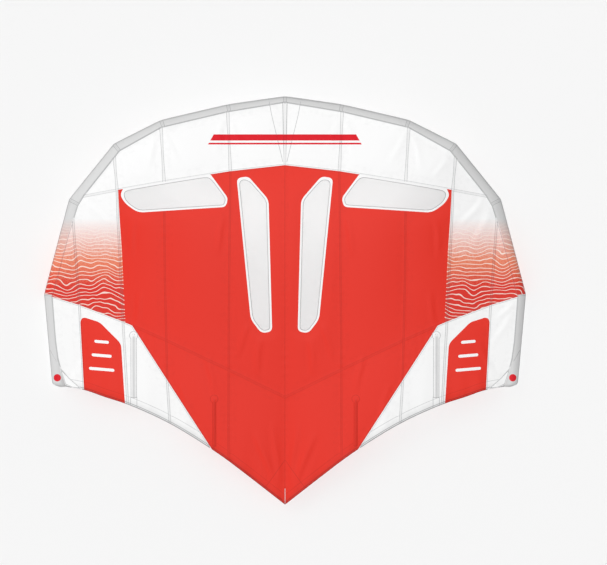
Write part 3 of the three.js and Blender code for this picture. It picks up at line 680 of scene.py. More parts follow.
# Finishes
class Finish:
    """A finish made of nodes, with short ways to add them."""

    def __init__(self, name, roughness, **sockets):
        self.material = bpy.data.materials.new(name)
        self.material.use_nodes = True
        self.tree = self.material.node_tree
        self.shader = next(n for n in self.tree.nodes if n.type == "BSDF_PRINCIPLED")
        self.shader.inputs["Roughness"].default_value = roughness
        for key, value in sockets.items():
            self.shader.inputs[key.replace("_", " ")].default_value = value
        self.place = self.add("ShaderNodeTexCoord").outputs["Object"]
        self.x, self.y, self.z = self.split(self.place)

    def add(self, kind, links=(), **settings):
        node = self.tree.nodes.new(kind)
        for key, value in settings.items():
            setattr(node, key, value)
        for key, value in dict(links).items():
            self.feed(node.inputs[key], value)
        return node

    def feed(self, socket, value):
        if isinstance(value, bpy.types.NodeSocket):
            self.tree.links.new(value, socket)
        else:
            socket.default_value = value

    def maths(self, operation, *values):
        node = self.add("ShaderNodeMath", operation=operation)
        for socket, value in zip(node.inputs, values):
            self.feed(socket, value)
        return node.outputs[0]

    def split(self, vector):
        return self.add("ShaderNodeSeparateXYZ", {"Vector": vector}).outputs

    def attribute(self, name):
        return self.add("ShaderNodeAttribute", attribute_name=name)

    def noise(self, scale, detail=2.0):
        links = {"Vector": self.place, "Scale": scale, "Detail": detail}
        return self.add("ShaderNodeTexNoise", links).outputs["Fac"]

    def blend(self, share, first, second):
        node = self.add("ShaderNodeMix", data_type="RGBA")
        ends = [socket for socket in node.inputs if socket.type == "RGBA"]
        self.feed(node.inputs["Factor"], share)
        self.feed(ends[0], first)
        self.feed(ends[1], second)
        return next(socket for socket in node.outputs if socket.type == "RGBA")

    def limit(self, value):
        return self.maths("MINIMUM", self.maths("MAXIMUM", value, 0.0), 1.0)

    def near(self, value, target, half):
        """1 where the value is the target, falling to 0 a little beyond half a width away."""
        off = self.maths("ABSOLUTE", self.maths("SUBTRACT", value, target))
        return self.limit(self.maths("SUBTRACT", 1.4, self.maths("DIVIDE", off, half)))

    def most(self, *values):
        result = values[0]
        for value in values[1:]:
            result = self.maths("MAXIMUM", result, value)
        return result

    def dashes(self, along):
        """Gaps between stitches along one way."""
        beat = self.maths("PINGPONG", self.maths("DIVIDE", along, STITCH), 0.5)
        return self.maths("MULTIPLY_ADD", self.maths("GREATER_THAN", beat, 0.14), 0.4, 0.6)

    def ripstop(self):
        """Heavier threads of the weave, crossing at one pitch both ways."""
        lines = []
        for along in (self.x, self.y):
            wave = self.maths("PINGPONG", self.maths("DIVIDE", along, RIPSTOP), 0.5)
            lines.append(self.maths("GREATER_THAN", wave, 0.43))
        return self.most(*lines)

    def finish(self, colour, bump, strength, distance):
        self.feed(self.shader.inputs["Base Color"], colour)
        links = {"Strength": strength, "Distance": distance, "Height": bump}
        self.feed(self.shader.inputs["Normal"], self.add("ShaderNodeBump", links).outputs["Normal"])
        return self.material


def rgba(colour):
    return (*colour, 1.0)


def shaded(colour, share):
    return tuple(c * share for c in colour)


def cloth_finish(name, colour, thread, edge, strength, red=None, dot=False, roughness=0.6):
    """Coated ripstop: tone, weave, stitched seams, a hem darkened with painted shade, the shade marks and, if
    asked, the printed fade or a dot.
    """
    f = Finish(name, roughness, Specular_IOR_Level=0.22)
    base = f.blend(f.noise(2.3, 3.0), rgba(shaded(colour, 0.975)), rgba(colour))
    line = rgba(thread)
    if dot:
        base = f.blend(tip_dot(f), base, rgba(red))
    elif red:
        base, printed = fade_print(f, base, red)
        line = f.blend(printed, line, rgba(shaded(red, 0.5)))
    threads = f.ripstop()
    base = f.blend(f.maths("MULTIPLY", threads, 0.04), base, rgba(shaded(colour, 0.6)))

    inner, outer, beside = f.split(f.attribute("sides").outputs["Vector"])
    front, rear, behind = f.split(f.attribute("ends").outputs["Vector"])
    sewn = f.attribute("stitch").outputs["Fac"]
    upright = f.most(f.near(inner, beside, THREAD), f.near(outer, beside, THREAD))
    level = f.most(f.near(front, STITCH_LINE["front"], THREAD), f.near(rear, behind, THREAD))
    dashed = f.most(
        f.maths("MULTIPLY", upright, f.dashes(f.y)),
        f.maths("MULTIPLY", f.maths("MULTIPLY", level, f.dashes(f.x)), 0.75),
        f.near(sewn, 0.0, THREAD),
    )
    nearest = f.maths("MINIMUM", f.maths("MINIMUM", inner, outer), f.maths("MINIMUM", front, rear))
    patchy = f.maths("SUBTRACT", f.noise(38.0), 0.45)
    soiled = f.maths("MULTIPLY", f.maths("GREATER_THAN", 0.05, nearest), patchy)
    base = f.blend(f.maths("MULTIPLY", f.maths("MAXIMUM", soiled, 0.0), 0.18), base, rgba(edge))
    doubled = f.maths("MULTIPLY", f.maths("LESS_THAN", nearest, 0.0075), 0.035)
    # Painted shade: the hem darkens towards the trailing edge, and a dark line and a darker band run along
    # that edge
    hemmed = f.maths("GREATER_THAN", behind, 0.03)
    into_hem = f.limit(f.maths("SUBTRACT", 1.0, f.maths("DIVIDE", rear, STITCH_LINE["hem"])))
    depth = f.maths("POWER", into_hem, 1.7)
    hem_shade = f.maths("MULTIPLY", f.maths("MULTIPLY", depth, 0.30), hemmed)
    rim = f.most(
        f.maths("MULTIPLY", f.near(rear, 0.0115, 0.0026), 0.75),
        f.maths("MULTIPLY", f.maths("LESS_THAN", rear, 0.0050), 0.85),
    )
    shade = f.most(doubled, hem_shade, f.maths("MULTIPLY", rim, hemmed), f.attribute("shade").outputs["Fac"])
    base = f.blend(shade, base, rgba(edge))
    joint = f.maths("MULTIPLY", f.near(nearest, 0.0, 0.0010), 0.4)
    base = f.blend(f.maths("MULTIPLY", f.most(dashed, joint), strength), base, line)
    weave = f.maths("MULTIPLY_ADD", threads, 0.5, f.maths("MULTIPLY", f.noise(900.0, 1.0), 0.35))
    bump = f.maths("SUBTRACT", weave, f.maths("MULTIPLY", dashed, 0.8))
    return f.finish(base, bump, 0.25, 0.0004)


def tip_dot(f):
    """1 inside the plain dot on top of the tube, 0 elsewhere."""
    beside = f.maths("SUBTRACT", f.maths("ABSOLUTE", f.x), DOT["x"])
    behind = f.maths("SUBTRACT", f.y, DOT["y"])
    away = f.maths("SQRT", f.maths("ADD", f.maths("POWER", beside, 2.0), f.maths("POWER", behind, 2.0)))
    inked = f.limit(f.maths("DIVIDE", f.maths("SUBTRACT", DOT["radius"], away), 0.001))
    return f.maths("MULTIPLY", f.maths("GREATER_THAN", f.z, 0.03), inked)


def fade_print(f, base, red):
    """Red that pales towards the nose, crossed by thin light ripples, and how red it is."""
    speck = f.maths("MULTIPLY", f.maths("SUBTRACT", f.noise(120.0, 1.0), 0.5), 0.30)
    rise = f.maths("DIVIDE", f.maths("SUBTRACT", FADE["front"], f.y), FADE["run"])
    grain = f.maths("MULTIPLY", speck, f.limit(f.maths("MULTIPLY", rise, 3.0)))
    strength = f.limit(f.maths("ADD", rise, grain))
    early = f.limit(f.maths("DIVIDE", strength, 0.5))
    late = f.limit(f.maths("DIVIDE", f.maths("SUBTRACT", strength, 0.52), 0.30))
    ground = f.blend(early, base, rgba(FADE_PALE))
    ground = f.blend(late, ground, rgba(shaded(red, 0.88)))
    across = f.maths("ABSOLUTE", f.x)
    swell = f.maths("MULTIPLY", f.maths("SINE", f.maths("MULTIPLY", across, 41.0)), 0.006)
    roll = f.maths("MULTIPLY", f.maths("SUBTRACT", f.noise(6.0, 2.0), 0.5), 0.11)
    wavy = f.maths("ADD", f.y, f.maths("ADD", swell, roll))
    crest = f.maths("MULTIPLY", f.maths("PINGPONG", f.maths("DIVIDE", wavy, FADE["ripple"]), 0.5), 2.0)
    vein = f.limit(f.maths("DIVIDE", f.maths("SUBTRACT", 0.23, crest), 0.08))
    vein = f.maths("MULTIPLY", vein, f.limit(f.maths("MULTIPLY", strength, 3.3)))
    vein = f.maths("MULTIPLY", vein, 0.75)
    return f.blend(vein, ground, rgba(RIPPLE_COLOUR)), f.maths("MULTIPLY", early, 0.8)


def film_finish(colour, thread):
    f = Finish("window_film", 0.42, Alpha=0.55, Specular_IOR_Level=0.35)
    # Painted highlight: soft lighter and darker patches in the film stand in for its sheen
    tone = f.blend(f.noise(3.1, 2.0), rgba(shaded(colour, 0.93)), rgba(colour))
    sewn = f.near(f.attribute("stitch").outputs["Fac"], 0.0, FILM_THREAD)
    tone = f.blend(f.maths("MULTIPLY", sewn, 0.9), tone, rgba(thread))
    return f.finish(tone, f.noise(14.0, 3.0), 0.12, 0.004)


def grip_finish(colour):
    f = Finish("grip_foam", 0.82, Specular_IOR_Level=0.3)
    speck = f.noise(420.0, 3.0)
    base = f.blend(speck, rgba(shaded(colour, 0.7)), rgba(shaded(colour, 1.5)))
    worn = f.maths("MAXIMUM", f.maths("SUBTRACT", f.noise(24.0, 2.0), 0.5), 0.0)
    base = f.blend(worn, base, rgba(shaded(colour, 3.0)))
    return f.finish(base, speck, 0.5, 0.0008)


def webbing_finish(colour):
    f = Finish("grip_webbing", 0.7, Specular_IOR_Level=0.3)
    ribs = f.maths("PINGPONG", f.maths("DIVIDE", f.maths("ADD", f.y, f.z), 0.0022), 0.5)
    base = f.blend(ribs, rgba(shaded(colour, 0.8)), rgba(shaded(colour, 2.2)))
    return f.finish(base, ribs, 0.6, 0.0008)


def floor_finish(colour):
    f = Finish("floor", 1.0, Specular_IOR_Level=0.0)
    tone = f.blend(f.noise(0.6, 2.0), rgba(shaded(colour, 0.997)), rgba(colour))
    return f.finish(tone, f.noise(60.0), 0.02, 0.0005)


FINISHES = {}


def finish_named(key):
    """The finish with that name, made when it is first asked for."""
    if key in FINISHES:
        return FINISHES[key]
    c = bpy.context.scene.wing_colours
    red, grey, dark = tuple(c.red), tuple(c.thread), tuple(c.edge)
    dark_red, dark_mark = shaded(c.red, 0.36), shaded(c.mark, 0.5)
    makers = {
        "white": lambda: cloth_finish("white_ripstop", c.white, grey, dark, 0.85),
        "red": lambda: cloth_finish("red_ripstop", red, dark_red, dark_red, 0.42),
        "mark": lambda: cloth_finish("red_mark", c.mark, dark_mark, dark_mark, 0.5),
        "print": lambda: cloth_finish("printed_ripstop", c.white, grey, dark, 0.85, red=red),
        "tube": lambda: cloth_finish("tube_cloth", c.tube, grey, dark, 0.9, roughness=0.65),
        "tube_print": lambda: cloth_finish("printed_tube_cloth", c.tube, grey, dark, 0.9, red=red),
        "tube_dot": lambda: cloth_finish("dotted_tube_cloth", c.tube, grey, dark, 0.9, red=c.mark, dot=True),
        "patch": lambda: cloth_finish("patch_cloth", c.patch, grey, dark, 0.9, roughness=0.7),
        "film": lambda: film_finish(c.film, grey),
        "grip": lambda: grip_finish(c.grip),
        "webbing": lambda: webbing_finish(c.grip),
        "floor": lambda: floor_finish(bpy.context.scene.wing_stage.floor),
    }
    FINISHES[key] = makers[key]()
    return FINISHES[key]


# Pieces
def deselect_all():
    for thing in bpy.context.selected_objects:
        thing.select_set(False)


def activate(piece):
    deselect_all()
    piece.select_set(True)
    bpy.context.view_layer.objects.active = piece


def make_piece(name, points, faces, finishes, field=None, marks=None, thickness=0.0):
    """A new piece from points and faces, in place, with smooth faces and its finishes."""
    mesh = bpy.data.meshes.new(name)
    mesh.from_pydata([tuple(p) for p in points], [], [tuple(int(i) for i in f) for f in faces])
    piece = bpy.data.objects.new(name, mesh)
    bpy.context.scene.collection.objects.link(piece)
    for key in finishes:
        mesh.materials.append(finish_named(key))
    if field is not None:
        mesh.polygons.foreach_set("material_index", field.astype(np.int32))
    for key, values in (marks or {}).items():
        kind, slot = ("FLOAT_VECTOR", "vector") if values.ndim == 2 else ("FLOAT", "value")
        layer = mesh.attributes.new(key, kind, "POINT")
        layer.data.foreach_set(slot, values.astype(np.float32).ravel())
    mesh.shade_smooth()
    mesh.update()
    if thickness:
        activate(piece)
        wall = piece.modifiers.new("thickness", "SOLIDIFY")
        wall.thickness = thickness
        wall.offset = -1.0
        bpy.ops.object.modifier_apply(modifier=wall.name)
        mesh.set_sharp_from_angle(angle=math.radians(50))
    return piece


def hand_over(piece, slot, *nodes):
    """Attaches a finished piece to the root body and hides the solids it stands for."""
    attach(piece, "root")
    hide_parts(*nodes)


def no_marks(count):
    """Distances to stitching and shade for points that have none beside them."""
    away = np.tile((FAR, FAR, STITCH_LINE["rear"]), (count, 1))
    return {
        "sides": away,
        "ends": away,
        "stitch": np.full(count, FAR),
        "shade": np.zeros(count),
    }


def extent(points):
    """Width and length of a sheet if it were laid flat, measured over its own slope."""
    x, y = points[:, 0], points[:, 1]
    out = []
    for along, across in ((x, y), (y, x)):
        longest = 0.0
        for low in np.linspace(across.min(), across.max(), 9):
            strip = points[np.abs(across - low) < 0.02]
            if len(strip) > 2:
                order = np.argsort(strip[:, 0] if along is x else strip[:, 1])
                line = strip[order][:, (0, 2) if along is x else (1, 2)]
                bins = np.arange(line[0, 0], line[-1, 0] + 0.03, 0.03)
                heights = np.interp(bins, line[:, 0], line[:, 1])
                bins[-1] = line[-1, 0]
                longest = max(longest, float(np.hypot(np.diff(bins), np.diff(heights)).sum()))
        out.append(longest)
    return out


def sew(name, suffix, points, faces, finishes, field, marks, thickness, slot):
    """Both halves of a sheet: the piece on the right and its mirror image on the left."""
    width, length = extent(points)
    for side, at, faced in (("right", points, faces), ("left", points * (-1, 1, 1), faces[:, ::-1])):
        piece = make_piece(f"{name}_{side}_{suffix}", at, faced, finishes, field, marks, thickness)
        hand_over(piece, slot, f"{name}_{side}")


def bond_shade(where, away):
    """Shade that falls to nothing a few millimetres from an edge on the tube."""
    return BOND_SHADE[where] * np.clip((BOND_SHADE["width"] - away) / BOND_SHADE["fade"], 0, 1)


def panel_marks(panel, places, step):
    """Distances to the panel's edges and stitch lines, and its shade beside the tube."""
    marks = no_marks(len(places))
    inner, outer, front, rear = panel.measure(places, step)
    beside = np.full(len(places), STITCH_LINE["red_side" if panel.finish == "red" else "side"])
    if panel.bonded:
        share = np.clip(front / np.maximum(front + rear, 1e-6), 0, 1)
        beside = beside + panel.lens * (0.4 + 0.6 * np.cos(2 * math.pi * share))
        marks["shade"] = bond_shade("front", front)
        if panel.lines[0] is middle:
            inner = inner * beside / mix(*NOSE_LINE, share)
    elif panel.lines[0] is middle:
        inner = inner * MIDDLE_SEAM_SPREAD
    if panel.name in SIDE_BONDED:
        marks["shade"] = bond_shade("side", outer) * (places[:, 1] > SIDE_BONDED[panel.name])
    behind = STITCH_LINE["hem" if panel.hem else "rear"]
    marks["sides"] = np.stack([inner, outer, beside], 1)
    marks["ends"] = np.stack([front, rear, np.full(len(places), behind)], 1)
    if panel.stitches:
        marks["stitch"] = np.min([distance_to(places, path) for path in panel.stitches], axis=0)
    return marks


def slot_of(finish):
    return "red_canopy" if finish == "red" else "white_canopy"


class WING_OT_canopy(bpy.types.Operator):
    """Cuts the panels of the canopy and sews them together"""

    bl_idname = "wing.canopy"
    bl_label = "Canopy"

    def execute(self, context):
        sizes = context.scene.wing_sizes
        for panel in canopy_panels():
            outline = np.concatenate(panel.sides(sizes.step))
            printed = [(loop, finish) for loop, finish in panel.fields if inside(loop, outline).any()]
            fields, finishes = [loop for loop, _ in printed], [finish for _, finish in printed]
            stitches = [evenly_open(path, sizes.step) for path in panel.stitches]
            places, faces, field = cut(
                outline, sizes.step, rims=PANEL_RIMS, holes=panel.windows, fields=fields, stitches=stitches
            )
            marks = panel_marks(panel, places, sizes.step)
            points = np.column_stack([places, panel.height(places, sizes)])
            sew(
                panel.name, "cloth", points, faces, [panel.finish, *finishes], field, marks,
                sizes.cloth, slot_of(panel.finish),
            )
        return {"FINISHED"}


def evenly_open(path, step):
    """An open path with points no further apart than a step."""
    loop = evenly(path, step)
    ends = np.flatnonzero(np.linalg.norm(loop - path[-1], axis=1) < 1e-9)
    return loop[: ends[0] + 1]


class WING_OT_windows(bpy.types.Operator):
    """Sets the film windows in the canopy, each with a sewn border"""

    bl_idname = "wing.windows"
    bl_label = "Windows"

    def execute(self, context):
        sizes = context.scene.wing_sizes
        for name, loop in zip(("lengthwise_window", "crosswise_window"), WINDOW_LOOPS):
            outline = np.column_stack([loop[:, 0], np.minimum(loop[:, 1], front_seam(loop[:, 0]))])
            outline = evenly(outline, sizes.step)
            film = evenly(offset(outline, -sizes.border), FILM["gap"])
            for turn in range(FILM["rounds"]):
                before_seam = FILM["near_seam"] - front_seam(film[:, 0]) + film[:, 1]
                near_front = np.clip(before_seam / FILM["fade"], 0, 1)
                ease = np.maximum(near_front, turn < FILM["rounds_everywhere"])[:, None] / 4
                film = film + ease * (np.roll(film, 1, axis=0) + np.roll(film, -1, axis=0) - 2 * film)
            if not inside(film, outline).all():
                raise RuntimeError(f"the film of {name} leaves its window")
            places, faces, field = cut(outline, sizes.step, rims=(0.004, 0.008), fields=[film])
            marks = no_marks(len(places))
            marks["stitch"] = distance_to(places, closed(film))
            edge = distance_to(places, closed(outline))
            height = cloth_top(places[:, 0], places[:, 1])
            height += sizes.seam_rise * np.clip((sizes.border + 0.001 - edge) / 0.003, 0, 1)
            points = np.column_stack([places, height])
            sew(
                name, "film", points, faces, ["white", "film"], field, marks,
                sizes.cloth, "window_film",
            )
        return {"FINISHED"}


def pocket_loop(x, width, head, radius, rear):
    """A strip with a round head, clockwise."""
    opening = math.asin(width / 2 / radius)
    turns = np.linspace(-math.pi / 2 - opening, -5 * math.pi / 2 + opening, 25)
    head_points = np.stack([x + radius * np.cos(turns), head + radius * np.sin(turns)], 1)
    return np.concatenate([[(x - width / 2, rear)], head_points, [(x + width / 2, rear)]])


class WING_OT_pockets(bpy.types.Operator):
    """Sews the batten pockets on the rear band"""

    bl_idname = "wing.pockets"
    bl_label = "Batten pockets"

    def execute(self, context):
        sizes = context.scene.wing_sizes
        panels = {panel.name: panel for panel in canopy_panels()}
        pockets = (
            ("inner_pocket", INNER_POCKET, "rear_panel_2_red"),
            ("outer_pocket", OUTER_POCKET, "rear_panel_3_white"),
        )
        for name, shape, on in pockets:
            panel = panels[on]
            x, _, head, _, _ = shape
            outline = evenly(pocket_loop(*shape), 0.008)
            cap = np.array(((-1, -1), (-1, 1), (1, 1), (1, -1), (-1, -1))) * 0.008 + (x, head)
            places, faces, _ = cut(outline, 0.007, rims=(0.003,), stitches=[evenly_open(cap, 0.008)])
            edge = distance_to(places, closed(outline))
            marks = no_marks(len(places))
            marks["sides"] = np.stack([edge, edge, np.full(len(places), STITCH_LINE["pocket"])], 1)
            if panel.finish == "white":
                marks["stitch"] = distance_to(places, cap)
            off = np.abs(places[:, 0] - x)
            along = np.clip((head + 0.006 - places[:, 1]) / 0.02, 0, 1)
            marks["shade"] = BATTEN[panel.finish] * np.exp(-((off / BATTEN["shade_half"]) ** 2)) * along
            rod = np.clip(1 - (off / BATTEN["half"]) ** 2, 0, 1) * along
            lift = LAID_CLOTH * (1 + np.clip(edge / 0.004, 0, 1)) + BATTEN["rise"] * rod
            points = np.column_stack([places, panel.height(places, sizes) + lift])
            sew(
                name, "cloth", points, faces, [panel.finish], None, marks,
                LAID_CLOTH, slot_of(panel.finish),
            )
        return {"FINISHED"}


class WING_OT_tip_patches(bpy.types.Operator):
    """Sews a corner patch at each wing tip"""

    bl_idname = "wing.tip_patches"
    bl_label = "Tip patches"

    def execute(self, context):
        sizes = context.scene.wing_sizes
        panel = next(p for p in canopy_panels() if p.name == "rear_panel_5")
        outline = evenly(np.array(TIP_PATCH), 0.012)
        places, faces, _ = cut(outline, 0.010, rims=(0.003,))
        edge = distance_to(places, closed(outline))
        marks = no_marks(len(places))
        marks["sides"] = np.stack([edge, edge, np.full(len(places), STITCH_LINE["patch"])], 1)
        points = np.column_stack([places, panel.height(places, sizes) + PATCH_LIFT])
        sew(
            "tip_patch", "cloth", points, faces, ["patch"], None, marks,
            LAID_CLOTH, "tip_patch",
        )
        return {"FINISHED"}


def grid_faces(rows, around):
    """Faces between rings that each close on themselves."""
    faces = []
    for k in range(rows - 1):
        for i in range(around):
            j = (i + 1) % around
            faces.append((k * around + i, k * around + j, (k + 1) * around + j, (k + 1) * around + i))
    return faces


def capped(rings, faces, first, last):
    """Closes a row of rings with a fan to one point at each end."""
    count, around = len(rings), rings.shape[1]
    points = np.concatenate([rings.reshape(-1, 3), [first, last]])
    start, end = len(points) - 2, len(points) - 1
    for i in range(around):
        j = (i + 1) % around
        faces.append((j, i, start))
        faces.append(((count - 1) * around + i, (count - 1) * around + j, end))
    return points, faces


def with_blank(marks, count):
    """The marks of a row of rings, followed by those of points where nothing is sewn."""
    blank = no_marks(count)
    return {key: np.concatenate([value, blank[key]]) for key, value in marks.items()}


def tube_rings(k, sizes):
    """Rings of one tube length between two mitred seams, drawn in at the seams and wrinkled beside them."""
    p, q = AXIS[k], AXIS[k + 1]
    length = np.linalg.norm(q.at - p.at)
    spacing = 0.005 if k in TUBE_STITCHES else 0.022
    inner = np.linspace(0.036, length - 0.036, max(4, round(length / spacing)))
    places = np.array([*TUBE_END_RINGS, *inner, *[length - away for away in reversed(TUBE_END_RINGS)]])
    turn = np.linspace(0, 2 * math.pi, sizes.tube_sides + 1)[:-1]
    share = (places / length)[:, None]
    from_start, from_end = places[:, None], (length - places)[:, None]
    tip = k == len(AXIS) - 2
    beside, wide = (
        np.exp(-from_start / TUBE_SEAM[fade]) + (0 if tip else 1) * np.exp(-from_end / TUBE_SEAM[fade])
        for fade in ("fade", "wrinkle_fade")
    )
    wrinkle = 0.5 + 0.5 * np.sin(17 * turn + 2.0 * np.sin(3 * turn + k) + k)
    concave = 0.45 + 0.55 * np.clip(np.cos(turn), 0, 1)
    radius = mix(p.radius, q.radius, share)
    scale = 1 - TUBE_SEAM["drawn"] * beside - sizes.tube_wrinkle * wrinkle * concave * wide / radius
    if tip:
        scale = scale * (1 - 0.16 * np.clip(1 - from_end / 0.014, 0, 1) ** 2)
    scale = scale[..., None]
    reach = mix(p.reach, q.reach, share)[:, None, :] * scale * np.cos(turn)[:, None]
    at = mix(p.at, q.at, share)[:, None, :] + reach
    z = mix(p.height, q.height, share) + radius * scale[..., 0] * np.sin(turn)
    rings = np.concatenate([at, np.maximum(z, 0.0)[..., None]], -1)
    around = np.abs((turn + math.radians(62) + math.pi) % (2 * math.pi) - math.pi) * radius
    # Painted shade: the cloth darkens towards the tube's outermost line, where it turns away from the light
    outermost = np.clip((-np.cos(turn) - TUBE_EDGE_SHADE["from"]) / TUBE_EDGE_SHADE["fade"], 0, 1)
    full = np.ones_like(z)
    to_end = FAR if tip else from_end
    marks = {
        "sides": np.stack([from_start * full, to_end * full, STITCH_LINE["tube"] * full], -1),
        "ends": np.stack([around, FAR * full, STITCH_LINE["rear"] * full], -1),
        "stitch": FAR * full,
        "shade": TUBE_EDGE_SHADE["tone"] * outermost * full,
    }
    for path in TUBE_STITCHES.get(k, ()):
        sewn = distance_to(rings[..., :2].reshape(-1, 2), np.array(path)).reshape(z.shape)
        marks["stitch"] = np.minimum(marks["stitch"], np.where(z > p.height, sewn, FAR))
    return rings, {key: value.reshape(-1, *value.shape[2:]) for key, value in marks.items()}


class WING_OT_leading_edge(bpy.types.Operator):
    """Inflates the leading edge tube, length by length"""

    bl_idname = "wing.leading_edge"
    bl_label = "Leading edge"

    def execute(self, context):
        sizes = context.scene.wing_sizes
        for k in range(len(AXIS) - 1):
            rings, marks = tube_rings(k, sizes)
            around = rings.shape[1]
            run = np.append(AXIS[k + 1].at - AXIS[k].at, 0)
            run /= np.linalg.norm(run)
            last = rings[-1].mean(0)
            if k == len(AXIS) - 2:
                for share, bulge in ((0.75, 0.003), (0.4, 0.006)):
                    cap = last + (rings[-1] - last) * share + run * bulge
                    rings = np.concatenate([rings, cap[None]])
                    marks = with_blank(marks, around)
                last = last + run * 0.007
            faces = grid_faces(len(rings), around)
            points, faces = capped(rings, faces, rings[0].mean(0), last)
            marks = with_blank(marks, 2)
            finish = {4: "tube_print", 5: "tube_dot"}.get(k, "tube")
            for side, mirror in (("right", 1), ("left", -1)):
                faced = [f[::-1] if mirror > 0 else f for f in faces]
                piece = make_piece(
                    f"leading_edge_{k + 1}_{side}_skin", points * (mirror, 1, 1), faced, [finish], None, marks
                )
                piece.data.set_sharp_from_angle(angle=math.radians(60))
                hand_over(piece, "tube_cloth", f"leading_edge_{k + 1}_{side}")
        return {"FINISHED"}


def strut_radius(y):
    share = np.clip((STRUT["front"] - y) / (STRUT["front"] - STRUT["rear"]), 0, 1)
    return mix(STRUT["front_radius"], STRUT["rear_radius"], share ** STRUT["taper"])


def strut_top(y):
    return underside(np.zeros(np.shape(y)), y) - STRUT["gap"]


def strut_ring(y, turn, share=1.0):
    radius = strut_radius(y)
    centre = strut_top(y) - radius
    return np.stack([radius * share * np.cos(turn), y, centre + radius * share * np.sin(turn)], -1)


class WING_OT_strut(bpy.types.Operator):
    """Inflates the centre strut against the leading edge tube"""

    bl_idname = "wing.strut"
    bl_label = "Centre strut"

    def execute(self, context):
        sizes = context.scene.wing_sizes
        turn = np.linspace(0, 2 * math.pi, sizes.tube_sides + 1)[:-1]
        trees = []
        for side in ("right", "left"):
            mesh = bpy.data.objects[f"leading_edge_1_{side}_skin"].data
            polygons = [tuple(p.vertices) for p in mesh.polygons]
            trees.append(BVHTree.FromPolygons([v.co for v in mesh.vertices], polygons))
        start = np.full(len(turn), STRUT["front"])
        for i, angle in enumerate(turn):
            for _ in range(3):
                x, y, z = strut_ring(np.array(start[i]), np.array(angle))
                hits = [tree.ray_cast(Vector((x, -0.5, z)), Vector((0, 1, 0)))[0] for tree in trees]
                hits = [hit.y for hit in hits if hit is not None]
                start[i] = min([STRUT["front"], *[y - 0.0012 for y in hits]])
        seams = np.array(STRUT_SEAMS)
        away = np.array(STRUT_SEAM_RINGS)
        beside = (seams[:, None] + np.concatenate([-away, [0], away])).ravel()
        even = np.linspace(STRUT["first_ring"], STRUT["rear"], 84)
        even = even[np.abs(even[:, None] - seams).min(1) > 0.034]
        levels = np.sort(np.concatenate([even, beside, [STRUT["rear"]]]))[::-1]
        levels = levels[levels >= STRUT["rear"]]
        front = np.linspace(0, 1, 7)[:-1, None]
        y = np.concatenate([mix(start[None, :], levels[0], front), np.repeat(levels[:, None], len(turn), 1)])
        rings = strut_ring(y, np.broadcast_to(turn, y.shape))
        dome = []
        for k in range(1, 8):
            back = STRUT["dome"] * math.sin(k / 8 * math.pi / 2)
            ring = strut_ring(np.full(len(turn), STRUT["rear"]), turn, math.cos(k / 8 * math.pi / 2))
            dome.append(ring - (0, back, 0))
        rings = np.concatenate([rings, dome])
        to_seam = np.min([np.abs(rings[..., 1] - s) for s in seams], axis=0)
        radius = strut_radius(rings[..., 1])
        centre = strut_top(np.maximum(rings[..., 1], STRUT["rear"])) - radius
        drawn = 1 - STRUT_SEAM["drawn"] * np.exp(-to_seam / STRUT_SEAM["fade"])
        wrinkle = 0.5 + 0.5 * np.sin(15 * turn + 1.7 * np.sin(2 * turn))
        drawn -= sizes.tube_wrinkle * wrinkle * np.exp(-to_seam / STRUT_SEAM["wrinkle_fade"]) / radius
        low = np.clip(-np.sin(turn) + 0.35, 0, 1)
        drawn = 1 - (1 - drawn) * low
        rings[..., 0] *= drawn
        rings[..., 2] = centre + (rings[..., 2] - centre) * drawn
        rings[..., 2] = np.maximum(rings[..., 2], 0.0)
        along_side = np.minimum(np.abs(np.cos(turn) - 0.94), np.abs(np.cos(turn) + 0.94)) * radius
        along_side = np.where(np.sin(turn) < 0, FAR, along_side)
        full = np.ones_like(to_seam)
        marks = {
            "sides": np.stack([to_seam, FAR * full, STITCH_LINE["strut"] * full], -1).reshape(-1, 3),
            "ends": np.stack([along_side, FAR * full, STITCH_LINE["rear"] * full], -1).reshape(-1, 3),
            "stitch": np.full(full.size, FAR),
            "shade": np.zeros(full.size),
        }
        marks = with_blank(marks, 2)
        first = rings[0].mean(0)
        first[1] = rings[0][:, 1].min()
        tail = rings[-1].mean(0) - (0, 0.0004, 0)
        points, faces = capped(rings, grid_faces(len(rings), len(turn)), first, tail)
        piece = make_piece("centre_strut_skin", points, [f[::-1] for f in faces], ["tube"], None, marks)
        piece.data.set_sharp_from_angle(angle=math.radians(60))
        hand_over(piece, "tube_cloth", "centre_strut")
        return {"FINISHED"}


def handle_path(middle_y, count):
    """Middle line of a grip, from its front end on the strut to its rear end."""

    def low(y, drop):
        bottom = float(strut_top(np.array(y)) - 2 * strut_radius(np.array(y)))
        return (0.0, y, bottom - drop)

    ends = []
    for side in (1, -1):
        end = middle_y + side * HANDLE["length"] / 2
        points = [low(end, -0.010)]
        points += [low(end - side * inward, HANDLE["drop"] * down) for inward, down in HANDLE["corner"]]
        ends.append(points)
    curve = smooth_curve(ends[0] + ends[1][::-1], 16)
    travelled = np.concatenate([[0], np.cumsum(np.linalg.norm(np.diff(curve, axis=0), axis=1))])
    even = np.linspace(0, travelled[-1], count)
    return np.stack([np.interp(even, travelled, curve[:, i]) for i in range(3)], 1)


def grip_radius(share):
    """Webbing at the ends, then a cuff and the thick foam sleeve."""
    from_end = min(share, 1 - share)
    return float(np.interp(from_end, *zip(*GRIP_PROFILE)))


